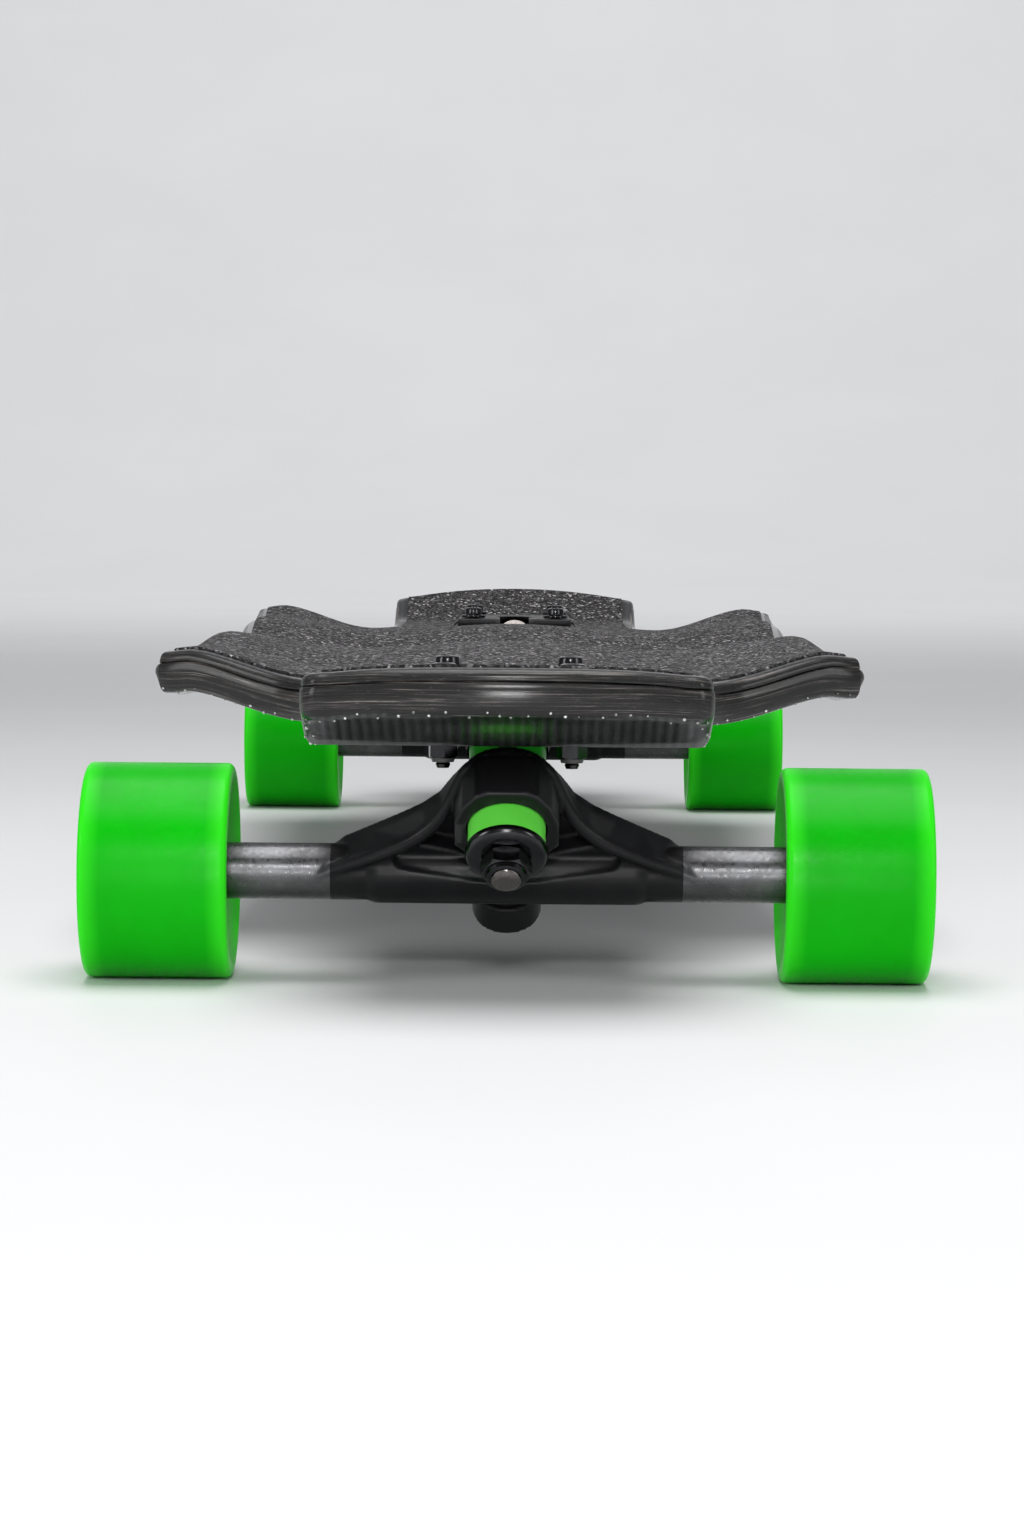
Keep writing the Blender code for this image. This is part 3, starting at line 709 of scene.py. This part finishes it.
def buildBeads(s=beadShape):
    # drops of resin along the lower edge, put there for the edge's sparkle glints
    path, chance, beads = rightOutline(), random.Random(11), []
    total = sum((b - a).length for a, b in zip(path, path[1:]))
    clearSelection()
    bpy.ops.mesh.primitive_ico_sphere_add(subdivisions=2, radius=1)
    pattern = newest("bead")
    for point, normal in alongPath(path, int(total / s["spacing"]), 1, total - 1):
        for mirror in (1, -1):
            size = chance.uniform(s["smallest"], s["largest"])
            along = Vector((-normal.y, normal.x)) * chance.uniform(-s["jitter"], s["jitter"])
            inner = point + along - normal * deckShape["rim"]
            out, depth = edgePoint(chance.choice(s["edgePoints"]), point.y, normal)
            place = inner + normal * out
            high = deckHeight(inner.x, inner.y) - depth
            move = Matrix.Translation(mmPoint(mirror * place.x, place.y, high)) @ Matrix.Scale(mm(size), 4)
            beads.append(copyOf(pattern, "bead", move))
    discard(pattern)
    return smoothShade(joinAll(beads, "resin_beads"), 60)


finishPiece(buildBeads(), "deck", "resin")
print("beads done")

gripShape = {"inset": 6.6, "low": 0.06, "high": 0.85, "border": 0.3, "rough": 0.04,
             "windowHalf": 30.5, "windowIn": 56, "windowOut": 32}


def buildGrip(s=gripShape):
    obj, outward = deckGrid("grip_sheet", s["inset"])
    border = {spotKey(obj.data.vertices[i].co) for i in outward}
    use(obj)
    startEdit()
    bpy.ops.mesh.extrude_region_move(TRANSFORM_OT_translate={"value": (0, 0, mm(-1))})
    bm = bmesh.from_edit_mesh(obj.data)
    rough = random.Random(4)
    for v in bm.verts:
        high = s["border"] if spotKey(v.co) in border else s["high"]
        lift = s["low"] if v.co.z < 0 else high + rough.uniform(-s["rough"], s["rough"])
        v.co.z = mm(deckHeight(v.co.x * 1000, v.co.y * 1000) + lift)
    endEdit()
    windows = []
    for end in ends:
        window = block("window", (-s["windowHalf"], -s["windowOut"], 60), (s["windowHalf"], s["windowIn"], 130))
        windows.append(settle(bevelEdges(window, 4, 4), truckMatrix(end)))
    return boolean(obj, joinAll(windows, "window_cutter"))


grip = smoothShade(buildGrip(), 40)
finishPiece(grip, "deck", "grit", ["grip_tape"])
print("grip:", len(grip.data.polygons), "faces")


# ---- trucks ----
seat = {"out": 19, "height": 60, "axle": 35}


def kingpinFrame():
    # Z down the kingpin, Y up the steering axis, from the middle of the bushing seat
    return Matrix.Translation(mmPoint(0, -seat["out"], seat["height"])) @ Matrix.Rotation(radians(135), 4, "X")


def axleSpot():
    # the axle in the kingpin's frame, as (along the steering axis, down the kingpin)
    drop = seat["height"] - seat["axle"]
    return (-(seat["out"] + drop) / sqrt(2), (drop - seat["out"]) / sqrt(2))


hangerShape = {
    "tube": 9.2, "half": 92, "voxel": 0.72, "back": -5.5, "rimBack": -2.5, "bellyRadius": 10.2, "bellyHalf": 48,
    "bodyHalf": 57.2, "ridge": 2.1, "stem": 7, "axleHole": 4.15, "upperFloor": -1.5, "lowerFloor": 5,
    # half outlines as (x, along the steering axis), from the top to the bottom
    "outline": [(8, 14.5), (13.5, 12.5), (17.8, 6), (21.8, -1.5), (27.5, -7.2), (35.5, -12.8), (44.5, -18.6),
                (53, -24), (56.5, -28), (56.5, -33), (50, -38), (38, -40.2), (12, -40.8)],
    "front": [(7, 17), (13.9, 12.6), (17.5, 6.8), (20.5, -0.6), (25.2, -7.8), (31.8, -12.8), (40.2, -16.7),
              (48.6, -19.9), (57, -21.9), (58, -27), (56, -33), (40, -35.5), (12, -35.8)],
    "ridgeLine": [(7, 15), (12.5, 11.4), (15.8, 6.2), (18.8, -1.4), (24, -9.3), (31, -14.5), (39.6, -18.4),
                  (48, -21.6), (57, -24.4), (66, -28.6), (70, -31)],
    "upperPocket": [(6, 12.9), (10.9, 9.9), (13.9, 5.1), (17, -2.2), (22.6, -10.9), (28.5, -15.2), (28.5, -16.5),
                    (13, -21)],
    "lowerPocket": [(13, -20.4), (28.5, -15.9), (30.5, -16.6), (36, -19.4), (37.4, -20.9), (34.8, -22.8),
                    (19.7, -24.3), (5.2, -26)],
    "boss": [(6.5, 17.6), (10, 15.8), (14.5, 9.7), (16.7, 3), (16.7, -8), (10, -15)],
}


def rimPlane(along):
    # how far down the kingpin the hanger's front lies at a place along the steering axis
    return 1.71 - 0.36 * along


def buildHanger(s=hangerShape):
    atAxle = Matrix.Translation(mmPoint(0, *axleSpot()))
    outline = mirrored(s["outline"])
    shell = loft("shell", [[(*p, s["back"]) for p in outline], [(*p, s["rimBack"]) for p in outline],
                           [(*p, rimPlane(p[1]) - 0.6) for p in mirrored(s["front"])]])
    tube = settle(rod("tube", s["tube"], -s["half"], s["half"], "X"), atAxle)
    belly = rod("belly", s["bellyRadius"], -s["bellyHalf"], s["bellyHalf"], "X")
    belly = settle(bevelEdges(belly, 6, 5), atAxle)
    boolean(shell, belly, "UNION")
    boolean(shell, prism("upper", mirrored(s["upperPocket"]), s["upperFloor"], 40))
    boolean(shell, prism("lower", mirrored(s["lowerPocket"]), s["lowerFloor"], 40))
    parts = [shell, tube, prism("boss", mirrored(s["boss"]), -3, 12.5), rod("board_rim", 15.5, -9.5, 0),
             rod("stem", s["stem"], -49, -20, "Y"), block("neck", (-12, -38, -8), (12, -12, 1)),
             block("badge", (-18, -31.6, 9), (18, -29.2, rimPlane(-30.4) + 0.5))]
    for way in (1, -1):
        line = [(way * x, y, rimPlane(y) - 1.4) for x, y in [(0, 15.4), *s["ridgeLine"]]]
        parts.append(ribAlong("ridge", line, s["ridge"]))
    obj = castTogether(parts, "hanger_cast", s["voxel"], 3)
    for tool in (rod("bore", 8, -30, 30), rod("board_seat", 13.1, -30, -7.3), rod("road_seat", 13.1, 7.3, 30)):
        boolean(obj, tool)
    boolean(obj, settle(rod("axle_hole", s["axleHole"], -110, 110, "X"), atAxle))
    bm = bmesh.new()  # a row of edges where the body's finish ends
    bm.from_mesh(obj.data)
    for way in (1, -1):
        bmesh.ops.bisect_plane(bm, geom=bm.verts[:] + bm.edges[:] + bm.faces[:], dist=0.00001,
                               plane_co=mmPoint(way * s["bodyHalf"], 0, 0), plane_no=(1, 0, 0))
    bm.to_mesh(obj.data)
    bm.free()
    return smoothShade(settle(obj, kingpinFrame()), 50)


hangerMaster = buildHanger()
for end in ends:
    piece = copyOf(hangerMaster, end + "_hanger_casting", truckMatrix(end))
    finishPiece(piece, end + "_hanger", "casting", [end + "_hanger"], ["satinCasting"])
    for face in piece.data.polygons:
        face.material_index = 1 if abs(face.center.x) > mm(hangerShape["bodyHalf"]) else 0
discard(hangerMaster)
print("hangers:", len(piece.data.polygons), "faces each")

plateShape = {"flangeHalf": 28.5, "flangeIn": 54, "flangeOut": 30, "low": 94.2, "high": 98.8, "voxel": 0.8,
              "bossFace": -25.7, "web": 9.5, "inner": 20.3, "rim": 12.2, "boss": 14.3, "tower": 11.4}


def side(along, down):
    # a point of the kingpin's frame as (y, z) in the truck's frame
    return (-seat["out"] - (along + down) / sqrt(2), seat["height"] + (along - down) / sqrt(2))


def uprightPrism(name, outline, half):
    # an outline in Y and Z, as thick as twice half along X
    obj = prism(name, [(z, y) for y, z in outline], -half, half)
    return settle(obj, Matrix(((0, 0, 1, 0), (0, 1, 0, 0), (1, 0, 0, 0), (0, 0, 0, 1))))


def buildBaseplate(s=plateShape):
    face = s["bossFace"]
    top = side(13.8, face)
    web = [(35, 96), (-10.5, 96), (-10.5, top[1]), top, side(-13.8, face), side(-43, -10.4), side(-43.5, 2),
           side(-53.5, 2), side(-53.5, -10.8), (35, 80)]
    inner = [(34.5, 96), (-8, 96), (-8, top[1] - 3), side(-2, face - 1), (34.5, 76)]
    rim = [side(-14, face - 4.5), side(-43, -15), side(-43, -10.4), side(-14, face)]
    half = s["flangeHalf"]
    flange = block("flange", (-half, -s["flangeOut"], s["low"]), (half, s["flangeIn"], s["high"]))
    parts = [bevelEdges(flange, 1.2, 3), uprightPrism("web", web, s["web"]),
             uprightPrism("inner", inner, s["inner"]), uprightPrism("rim", rim, s["rim"])]
    for tube in (rod("boss", s["boss"], -38, face + 0.9), rod("tower", s["tower"], -54.3, -42, "Y")):
        parts.append(settle(tube, kingpinFrame()))
    obj = castTogether(parts, "baseplate_cast", s["voxel"], 3)
    for tool in (rod("pocket", 9.2, -65, -37.7), rod("kingpin_bore", 5, -60, -20),
                 rod("cup_bore", 9.25, -52.4, -38, "Y")):
        boolean(obj, settle(tool, kingpinFrame()))
    boolean(obj, block("notch", (-7.3, 16, s["low"] - 1.6), (7.3, 60, 110)))
    for x, y in boltSpots:
        boolean(obj, settle(rod("hole", 2.75, 80, 110), Matrix.Translation(mmPoint(x, y, 0))))
    return smoothShade(obj, 50)


plateMaster = buildBaseplate()
for end in ends:
    piece = copyOf(plateMaster, end + "_baseplate_casting", truckMatrix(end))
    finishPiece(piece, "deck", "casting", [end + "_baseplate"])
discard(plateMaster)
print("baseplates:", len(piece.data.polygons), "faces each")


def hexBlank(name, across, low, high, bore):
    # a six-sided nut with its corners turned off at both ends
    nut = prism(name, hexagon(across / sqrt(3)), low, high)
    corner, flat = across / sqrt(3) + 0.2, across / 2 * 0.99
    barrel = turned("barrel", [(flat, high + 0.01), (corner, high - 0.9), (corner, low + 0.9),
                               (flat, low - 0.01)], 48)
    boolean(nut, barrel, "INTERSECT")
    boolean(nut, rod("bore", bore, low - 2, high + 2))
    return smoothShade(nut, 30)


def thread(radius, low, high, pitch=1.25, depth=0.55):
    # ring by ring from high to low
    points, z = [], high
    while z - pitch > low:
        points += [(radius, z), (radius - depth, z - pitch / 2)]
        z -= pitch
    return points + [(radius, z)]


kingpinShape = {"radius": 4.75, "endAt": 34.6, "threadFrom": 22, "headAt": -38.4, "headHigh": 6.8}


def buildKingpinSet(s=kingpinShape):
    r = s["radius"]
    profile = [(2.9, s["endAt"]), (3.6, s["endAt"] - 0.2), *thread(r, s["threadFrom"], s["endAt"] - 1),
               (r, s["headAt"] + 0.6), (5.4, s["headAt"]), (7.2, s["headAt"])]
    pin = turned("kingpin", [*profile, (7.2, s["headAt"] - 1)], 32)
    head = hexBlank("head", 14.2, s["headAt"] - s["headHigh"], s["headAt"] - 0.8, 1)
    pin = joinAll([pin, head], "kingpin")
    nut = hexBlank("kingpin_nut", 14.2, 25.2, 31.2, r + 0.08)
    bore = r + 0.1
    collar = turned("collar", [(6.6, 31.3), (6.3, 32.6), (5.5, 33.0), (bore, 33.0), (bore, 31.3)], 40, True)
    nut = joinAll([nut, collar], "kingpin_nut")
    roadCup = turned("road_washer", [(13.2, 21.4), (13.3, 22.4), (12.9, 23.6), (11.8, 24.5), (9.2, 24.9),
                                     (bore, 24.9), (bore, 22.8), (11.6, 22.8), (12.7, 22.2), (12.8, 21.4)],
                     64, True)
    boardCup = turned("board_washer", [(12.8, -21.4), (12.7, -22.2), (11.6, -22.8), (bore, -22.8), (bore, -24.5),
                                       (11.6, -24.5), (12.9, -23.9), (13.3, -22.6), (13.2, -21.4)], 64, True)
    return {"kingpin": pin, "kingpin_nut": nut, "road_washer": roadCup, "board_washer": boardCup}


bushingShape = {"bore": 4.95, "radius": 12.55, "waist": 0.2, "near": 7.6, "far": 22.6}


def buildBushing(name, low, high, s=bushingShape):
    # a barrel with rounded rims and a shallow waist
    r, bore, middle = s["radius"], s["bore"], (low + high) / 2
    shoulder = r - s["waist"] * 0.6
    return turned(name, [(r - 1.0, high), (r - 0.3, high - 0.35), (r, high - 1.2), (shoulder, middle + 3),
                         (r - s["waist"], middle), (shoulder, middle - 3), (r, low + 1.2), (r - 0.3, low + 0.35),
                         (r - 1.0, low), (bore, low), (bore, high)], 72, True, 40)


def buildPivotCup():
    cup = turned("pivot_cup", [(9.1, -42.1), (9.1, -51.6), (8.4, -52.2), (5, -52.2), (4.2, -50.6), (6.8, -49.4),
                               (7.25, -47), (7.25, -42.1)], 48, True)
    cup.data.transform(Matrix.Rotation(-pi / 2, 4, "X"))
    return cup


masters = buildKingpinSet()
masters["road_bushing"] = buildBushing("road_bushing", bushingShape["near"], bushingShape["far"])
masters["board_bushing"] = buildBushing("board_bushing", -bushingShape["far"], -bushingShape["near"])
masters["pivot_cup"] = buildPivotCup()
pieceLooks = {"kingpin": ("kingpinSteel", "black_steel"), "kingpin_nut": ("darkSteel", "black_steel"),
              "road_washer": ("darkSteel", "black_steel"), "board_washer": ("darkSteel", "black_steel"),
              # the same urethane, painted lighter for the lit road bushing and darker for the shaded board
              # bushing
              "road_bushing": ("roadBushingLitGreen", "bushing_urethane"),
              "board_bushing": ("boardBushingShadedGreen", "bushing_urethane"),
              "pivot_cup": ("cupPlastic", "cup_plastic")}
for end in ends:
    place = truckMatrix(end) @ kingpinFrame()
    for name, master in masters.items():
        piece = copyOf(master, f"{end}_{name}_piece", place)
        finish, slotName = pieceLooks[name]
        if "bushing" not in name:
            finishPiece(piece, "deck", finish, [f"{end}_{name}"])
            continue
        piece.data.materials.append(finishes[finish])
        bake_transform(piece)
        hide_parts(f"{end}_{name}")
discard(*masters.values())
print("kingpins, washers, bushings and cups done")

boltShape = {"headTop": 104.0, "headLow": 100.5, "washerLow": 99.1, "nutHigh": 78.6, "nutLow": 73.6, "end": 70.4}


def buildBolt(s=boltShape):
    head = s["headTop"]
    profile = [(3.3, head), (3.9, head - 0.3), (4.2, head - 1.1), (4.2, s["headLow"] + 0.3), (4.0, s["headLow"]),
               (2.4, s["headLow"]), (2.4, 84), *thread(2.4, s["end"] + 0.6, 83.6, 0.8, 0.3), (1.9, s["end"])]
    bolt = turned("bolt", profile, 32)
    boolean(bolt, prism("socket", hexagon(2.3), head - 2.2, head + 1))
    over, under = s["headLow"] - 0.15, s["washerLow"]
    washer = turned("washer", [(6.0, over), (6.1, over - 0.2), (6.1, under + 0.15), (6.0, under), (2.7, under),
                               (2.7, over)], 40, True)
    nut = hexBlank("nut", 8.7, s["nutLow"], s["nutHigh"], 2.5)
    ring = turned("ring", [(3.9, s["nutLow"] - 0.05), (3.5, s["nutLow"] - 1.3), (2.5, s["nutLow"] - 1.3),
                           (2.5, s["nutLow"] - 0.05)], 32, True)
    return {"bolt": smoothShade(bolt, 30), "washer": washer, "nut": nut, "nylon_ring": ring}


boltMasters = buildBolt()
boltLooks = {"bolt": "darkSteel", "washer": "darkSteel", "nut": "darkSteel", "nylon_ring": "nylon"}
for end in ends:
    for number, (x, y) in enumerate(boltSpots, 1):
        turn = Matrix.Rotation(radians(37 * number + (20 if end == "rear" else 0)), 4, "Z")
        spot = truckMatrix(end) @ Matrix.Translation(mmPoint(x, y, 0)) @ turn
        for name, master in boltMasters.items():
            piece = copyOf(master, f"{end}_mount_{name}_{number}_piece", spot)
            nodes = [f"{end}_mount_bolt_{number}"] if name == "bolt" else []
            finishPiece(piece, "deck", boltLooks[name], nodes)
discard(*boltMasters.values())
print("mount bolts done")

axleShape = {"radius": 3.97, "half": 127, "threadFrom": 118}


def buildAxle(s=axleShape):
    grooves = thread(s["radius"], s["threadFrom"], s["half"] - 0.9, depth=0.5)
    end = [(2.9, s["half"]), (3.5, s["half"] - 0.4), *grooves]
    axle = turned("axle", end + [(r, -z) for r, z in reversed(end)], 32)
    return settle(axle, Matrix.Translation(mmPoint(0, 0, seat["axle"])) @ Matrix.Rotation(pi / 2, 4, "Y"))


axleMaster = buildAxle()
for end in ends:
    piece = copyOf(axleMaster, end + "_axle_rod", truckMatrix(end))
    finishPiece(piece, end + "_hanger", "axleSteel", [end + "_axle"])
discard(axleMaster)


# ---- wheels ----
wheelShape = {"radius": 35, "half": 23.8, "at": 112.8, "lip": 2.2, "core": 18, "coreIn": -20, "coreOut": 5,
              "stack": -19.7, "bearing": 7, "spacer": 10}


def bearingLows(s=wheelShape):
    # where the inner and the outer bearing start along the axle
    first = s["stack"] + 1
    return first, first + s["bearing"] + s["spacer"]


def buildTyre(s=wheelShape):
    r, half, lip = s["radius"], s["half"], s["lip"]
    turns = [pi / 2 * (1 - k / 7) for k in range(8)]
    rim = [(r - lip + lip * cos(turn), half - lip + lip * sin(turn)) for turn in turns]
    bore = s["core"] + 0.1
    inside = [(30.6, -half), (30.2, -half + 0.3), (23.5, -half + 2.6), (20.6, -half + 3.4),
              (bore, s["coreIn"] + 0.2), (bore, s["coreOut"] - 0.3), (18.8, s["coreOut"] + 0.2),
              (20.2, s["coreOut"] + 2.4), (24, 13), (28.5, 21), (30.1, half - 0.4), (30.6, half)]
    band = [(r, z) for z in (12, 6, 0, -6, -12)]
    return turned("tyre", rim + band + [(a, -z) for a, z in reversed(rim)] + inside, 128, True, 40)


def buildCore(s=wheelShape):
    first, second = bearingLows()
    low, high = s["coreIn"] + 0.3, s["coreOut"] - 0.3
    seatEnd = first + s["bearing"]
    hub = turned("core", [(13.6, high), (14, high - 0.6), (14, low + 0.6), (13.6, low), (11.12, low),
                          (11.12, seatEnd + 0.05), (9, seatEnd + 0.4), (9, second - 0.4),
                          (11.12, second - 0.05), (11.12, high)], 64, True)
    ring = turned("ring", [(s["core"], high - 0.4), (s["core"], low + 0.4), (16.2, low), (16.2, high)], 64, True)
    parts = [ring]
    for k in range(12):  # spokes between the bearing seat and the rim
        spoke = block("spoke", (13.2, -0.9, low + 1.4), (17, 0.9, high - 1.4))
        parts.append(settle(spoke, Matrix.Rotation(k * pi / 6, 4, "Z")))
    parts.append(turned("web", [(17, -6.5), (17, -8.5), (13.2, -8.5), (13.2, -6.5)], 64, True))
    for part in parts:
        boolean(hub, part, "UNION")
    return smoothShade(hub, 35)


def buildBearing(low, s=wheelShape):
    high = low + s["bearing"]
    middle = (low + high) / 2
    outer = turned("outer_ring", [(10.7, high), (11, high - 0.3), (11, low + 0.3), (10.7, low), (9.5, low),
                                  (9.3, low + 0.5), (9.3, middle - 1.5), (9.8, middle), (9.3, middle + 1.5),
                                  (9.3, high - 0.5), (9.5, high)], 64, True)
    shields = []
    for face, way in ((high, -1), (low, 1)):
        dish = [(9.25, 0.35), (9.25, 0.6), (6.9, 0.85), (6.9, 0.6), (7.6, 0.5), (8.6, 0.3)]
        shields.append(turned("shield", [(r, face + way * deep) for r, deep in dish][::way], 64, True))
    balls = []
    for k in range(7):
        clearSelection()
        bpy.ops.mesh.primitive_uv_sphere_add(segments=16, ring_count=8, radius=mm(1.75))
        spot = Matrix.Rotation(2 * pi * k / 7, 4, "Z") @ Matrix.Translation(mmPoint(7.8, 0, middle))
        balls.append(settle(newest("ball"), spot))
    return {"bearing_ring": outer, "bearing_shields": smoothShade(joinAll(shields, "shields"), 30),
            "bearing_balls": smoothShade(joinAll(balls, "balls"), 60)}


def buildStack(s=wheelShape):
    # what the axle nut clamps: speed rings, inner rings and the spacer
    first, second = bearingLows()
    last, bore = second + s["bearing"], 4.1
    pieces = {}
    for name, low, high, r in (("inner_speed_ring", first - 0.95, first - 0.05, 5.6),
                               ("outer_speed_ring", last + 0.05, last + 0.95, 5.6),
                               ("spacer_tube", first + s["bearing"] + 0.1, second - 0.1, 5.2)):
        pieces[name] = turned(name, [(r - 0.2, high), (r, high - 0.2), (r, low + 0.2), (r - 0.2, low),
                                     (bore, low), (bore, high)], 48, True)
    for name, low in (("inner_race_in", first), ("inner_race_out", second)):
        middle, high = low + s["bearing"] / 2, low + s["bearing"]
        pieces[name] = turned(name, [(6.0, high), (6.3, high - 0.3), (6.3, middle + 1.5), (5.9, middle),
                                     (6.3, middle - 1.5), (6.3, low + 0.3), (6.0, low), (bore, low),
                                     (bore, high)], 48, True)
    nut = hexBlank("axle_nut", 12.9, last + 1.3, last + 5.7, bore)
    collar = turned("collar", [(6.1, last + 5.8), (5.8, last + 7.2), (5.0, last + 7.5), (bore, last + 7.5),
                               (bore, last + 5.8)], 40, True)
    pieces["axle_nut"] = joinAll([nut, collar], "axle_nut")
    return pieces


wheelMasters = {"tyre": buildTyre(), "core": buildCore()}
for which, low in zip(("inner", "outer"), bearingLows()):
    for name, piece in buildBearing(low).items():
        wheelMasters[f"{which}_{name}"] = piece
stackMasters = buildStack()
stackNodes = {"spacer_tube": "spacer", "axle_nut": "axle_nut"}
wheelLooks = {"tyre": ("wheelGreen", "wheel_urethane"), "core": ("corePlastic", "core_plastic")}
for end in ends:
    for name, way in sides.items():
        local = way if end == "front" else -way
        spot = (truckMatrix(end) @ Matrix.Translation(mmPoint(local * wheelShape["at"], 0, seat["axle"]))
                @ Matrix.Rotation(local * pi / 2, 4, "Y"))
        for part, master in wheelMasters.items():
            piece = copyOf(master, f"{end}_{name}_{part}_piece", spot)
            nodes = [f"{end}_{name}_{part}"] if part in ("tyre", "core") else []
            if part.endswith("bearing_ring"):
                nodes = [f"{end}_{name}_{part.split('_')[0]}_bearing"]
            finish, slotName = wheelLooks.get(part, ("steel", "steel"))
            finishPiece(piece, f"{end}_{name}_wheel", finish, nodes)
        for part, master in stackMasters.items():
            piece = copyOf(master, f"{end}_{name}_{part}_piece", spot)
            nodes = [f"{end}_{name}_{stackNodes[part]}"] if part in stackNodes else []
            finishPiece(piece, end + "_hanger", "steel", nodes)
discard(*wheelMasters.values(), *stackMasters.values())
print("wheels done")


# ---- studio ----
def material(name, colour, roughness):
    made, tree, shader, where = startMaterial(name, colour, roughness)
    cloud = grain(tree, where, 3, 3)
    low = tuple(c * 0.97 for c in colour)
    tree.links.new(ramp(tree, cloud, [(0.3, low), (0.7, colour)]), shader.inputs["Base Color"])
    return made


studio = {"width": 24, "near": -8, "far": 8, "high": 8, "bend": 3}  # in metres


def buildFloor(s=studio):
    # a sheet that curves up behind the board
    clearSelection()
    bpy.ops.mesh.primitive_plane_add(size=1)
    sheet = newest("floor")
    for v in sheet.data.vertices:
        v.co = (v.co.x * s["width"], s["far"] if v.co.y > 0 else s["near"], 0)
    bpy.ops.object.mode_set(mode="EDIT")
    bm = bmesh.from_edit_mesh(sheet.data)
    for f in bm.faces:
        f.select_set(False)
    for e in bm.edges:
        e.select_set(all(v.co.y > 0 for v in e.verts))
    bmesh.update_edit_mesh(sheet.data)
    bpy.ops.mesh.extrude_edges_move(TRANSFORM_OT_translate={"value": (0, 0, s["high"])})
    bpy.ops.object.mode_set(mode="OBJECT")
    return smoothShade(bevelEdges(sheet, s["bend"] * 1000, 24), 60)


floor = buildFloor()
floor.data.materials.append(material("pale_floor", (0.74, 0.74, 0.75), 0.6))

world = bpy.data.worlds.new("studio")
world.use_nodes = True
sky = world.node_tree.nodes["Background"]
sky.inputs["Color"].default_value = (0.86, 0.88, 0.9, 1)
sky.inputs["Strength"].default_value = 0.28
bpy.context.scene.world = world
bpy.context.scene.view_settings.view_transform = "Standard"


def softbox(name, place, target, size, power):
    lamp = bpy.data.lights.new(name, "AREA")
    lamp.shape = "RECTANGLE"
    lamp.size, lamp.size_y = size
    lamp.energy = power
    obj = bpy.data.objects.new(name, lamp)
    bpy.context.scene.collection.objects.link(obj)
    obj.location = place
    obj.rotation_euler = (Vector(target) - Vector(place)).to_track_quat("-Z", "Y").to_euler()


# name: place and target in metres, (width, height) and power in watts
lamps = {
    "top": ((0, -0.3, 1.6), (0, 0, 0.05), (1.1, 1.6), 26),
    "front": ((0, -1.75, 0.62), (0, -0.4, 0.08), (0.3, 0.16), 6),
    "leftSide": ((-1.5, -1.1, 0.6), (0, -0.2, 0.05), (0.5, 0.8), 7),
    "rightSide": ((1.5, -1.1, 0.6), (0, -0.2, 0.05), (0.5, 0.8), 5),
    "wall": ((0, 3.6, 4.2), (0, 7.6, 1.2), (6, 1.5), 190),
    "low": ((0, -1.95, 0.08), (0, -0.45, 0.09), (0.24, 0.1), 4),
}
for name, values in lamps.items():
    softbox(name, *values)

cameraSet = {"place": (0.005, -1.656, 0.1525), "down": 3.72, "left": 0.16, "roll": 0.5, "lens": 92.5}
lens = bpy.data.cameras.new("camera")
lens.lens = cameraSet["lens"]
lens.sensor_width = 36
lens.clip_start = 0.05
camera = bpy.data.objects.new("camera", lens)
bpy.context.scene.collection.objects.link(camera)
camera.matrix_world = (Matrix.Translation(cameraSet["place"])
                       @ Matrix.Rotation(radians(cameraSet["left"]), 4, "Z")
                       @ Matrix.Rotation(radians(90 - cameraSet["down"]), 4, "X")
                       @ Matrix.Rotation(radians(cameraSet["roll"]), 4, "Z"))
bpy.context.scene.camera = camera
print("studio ready")
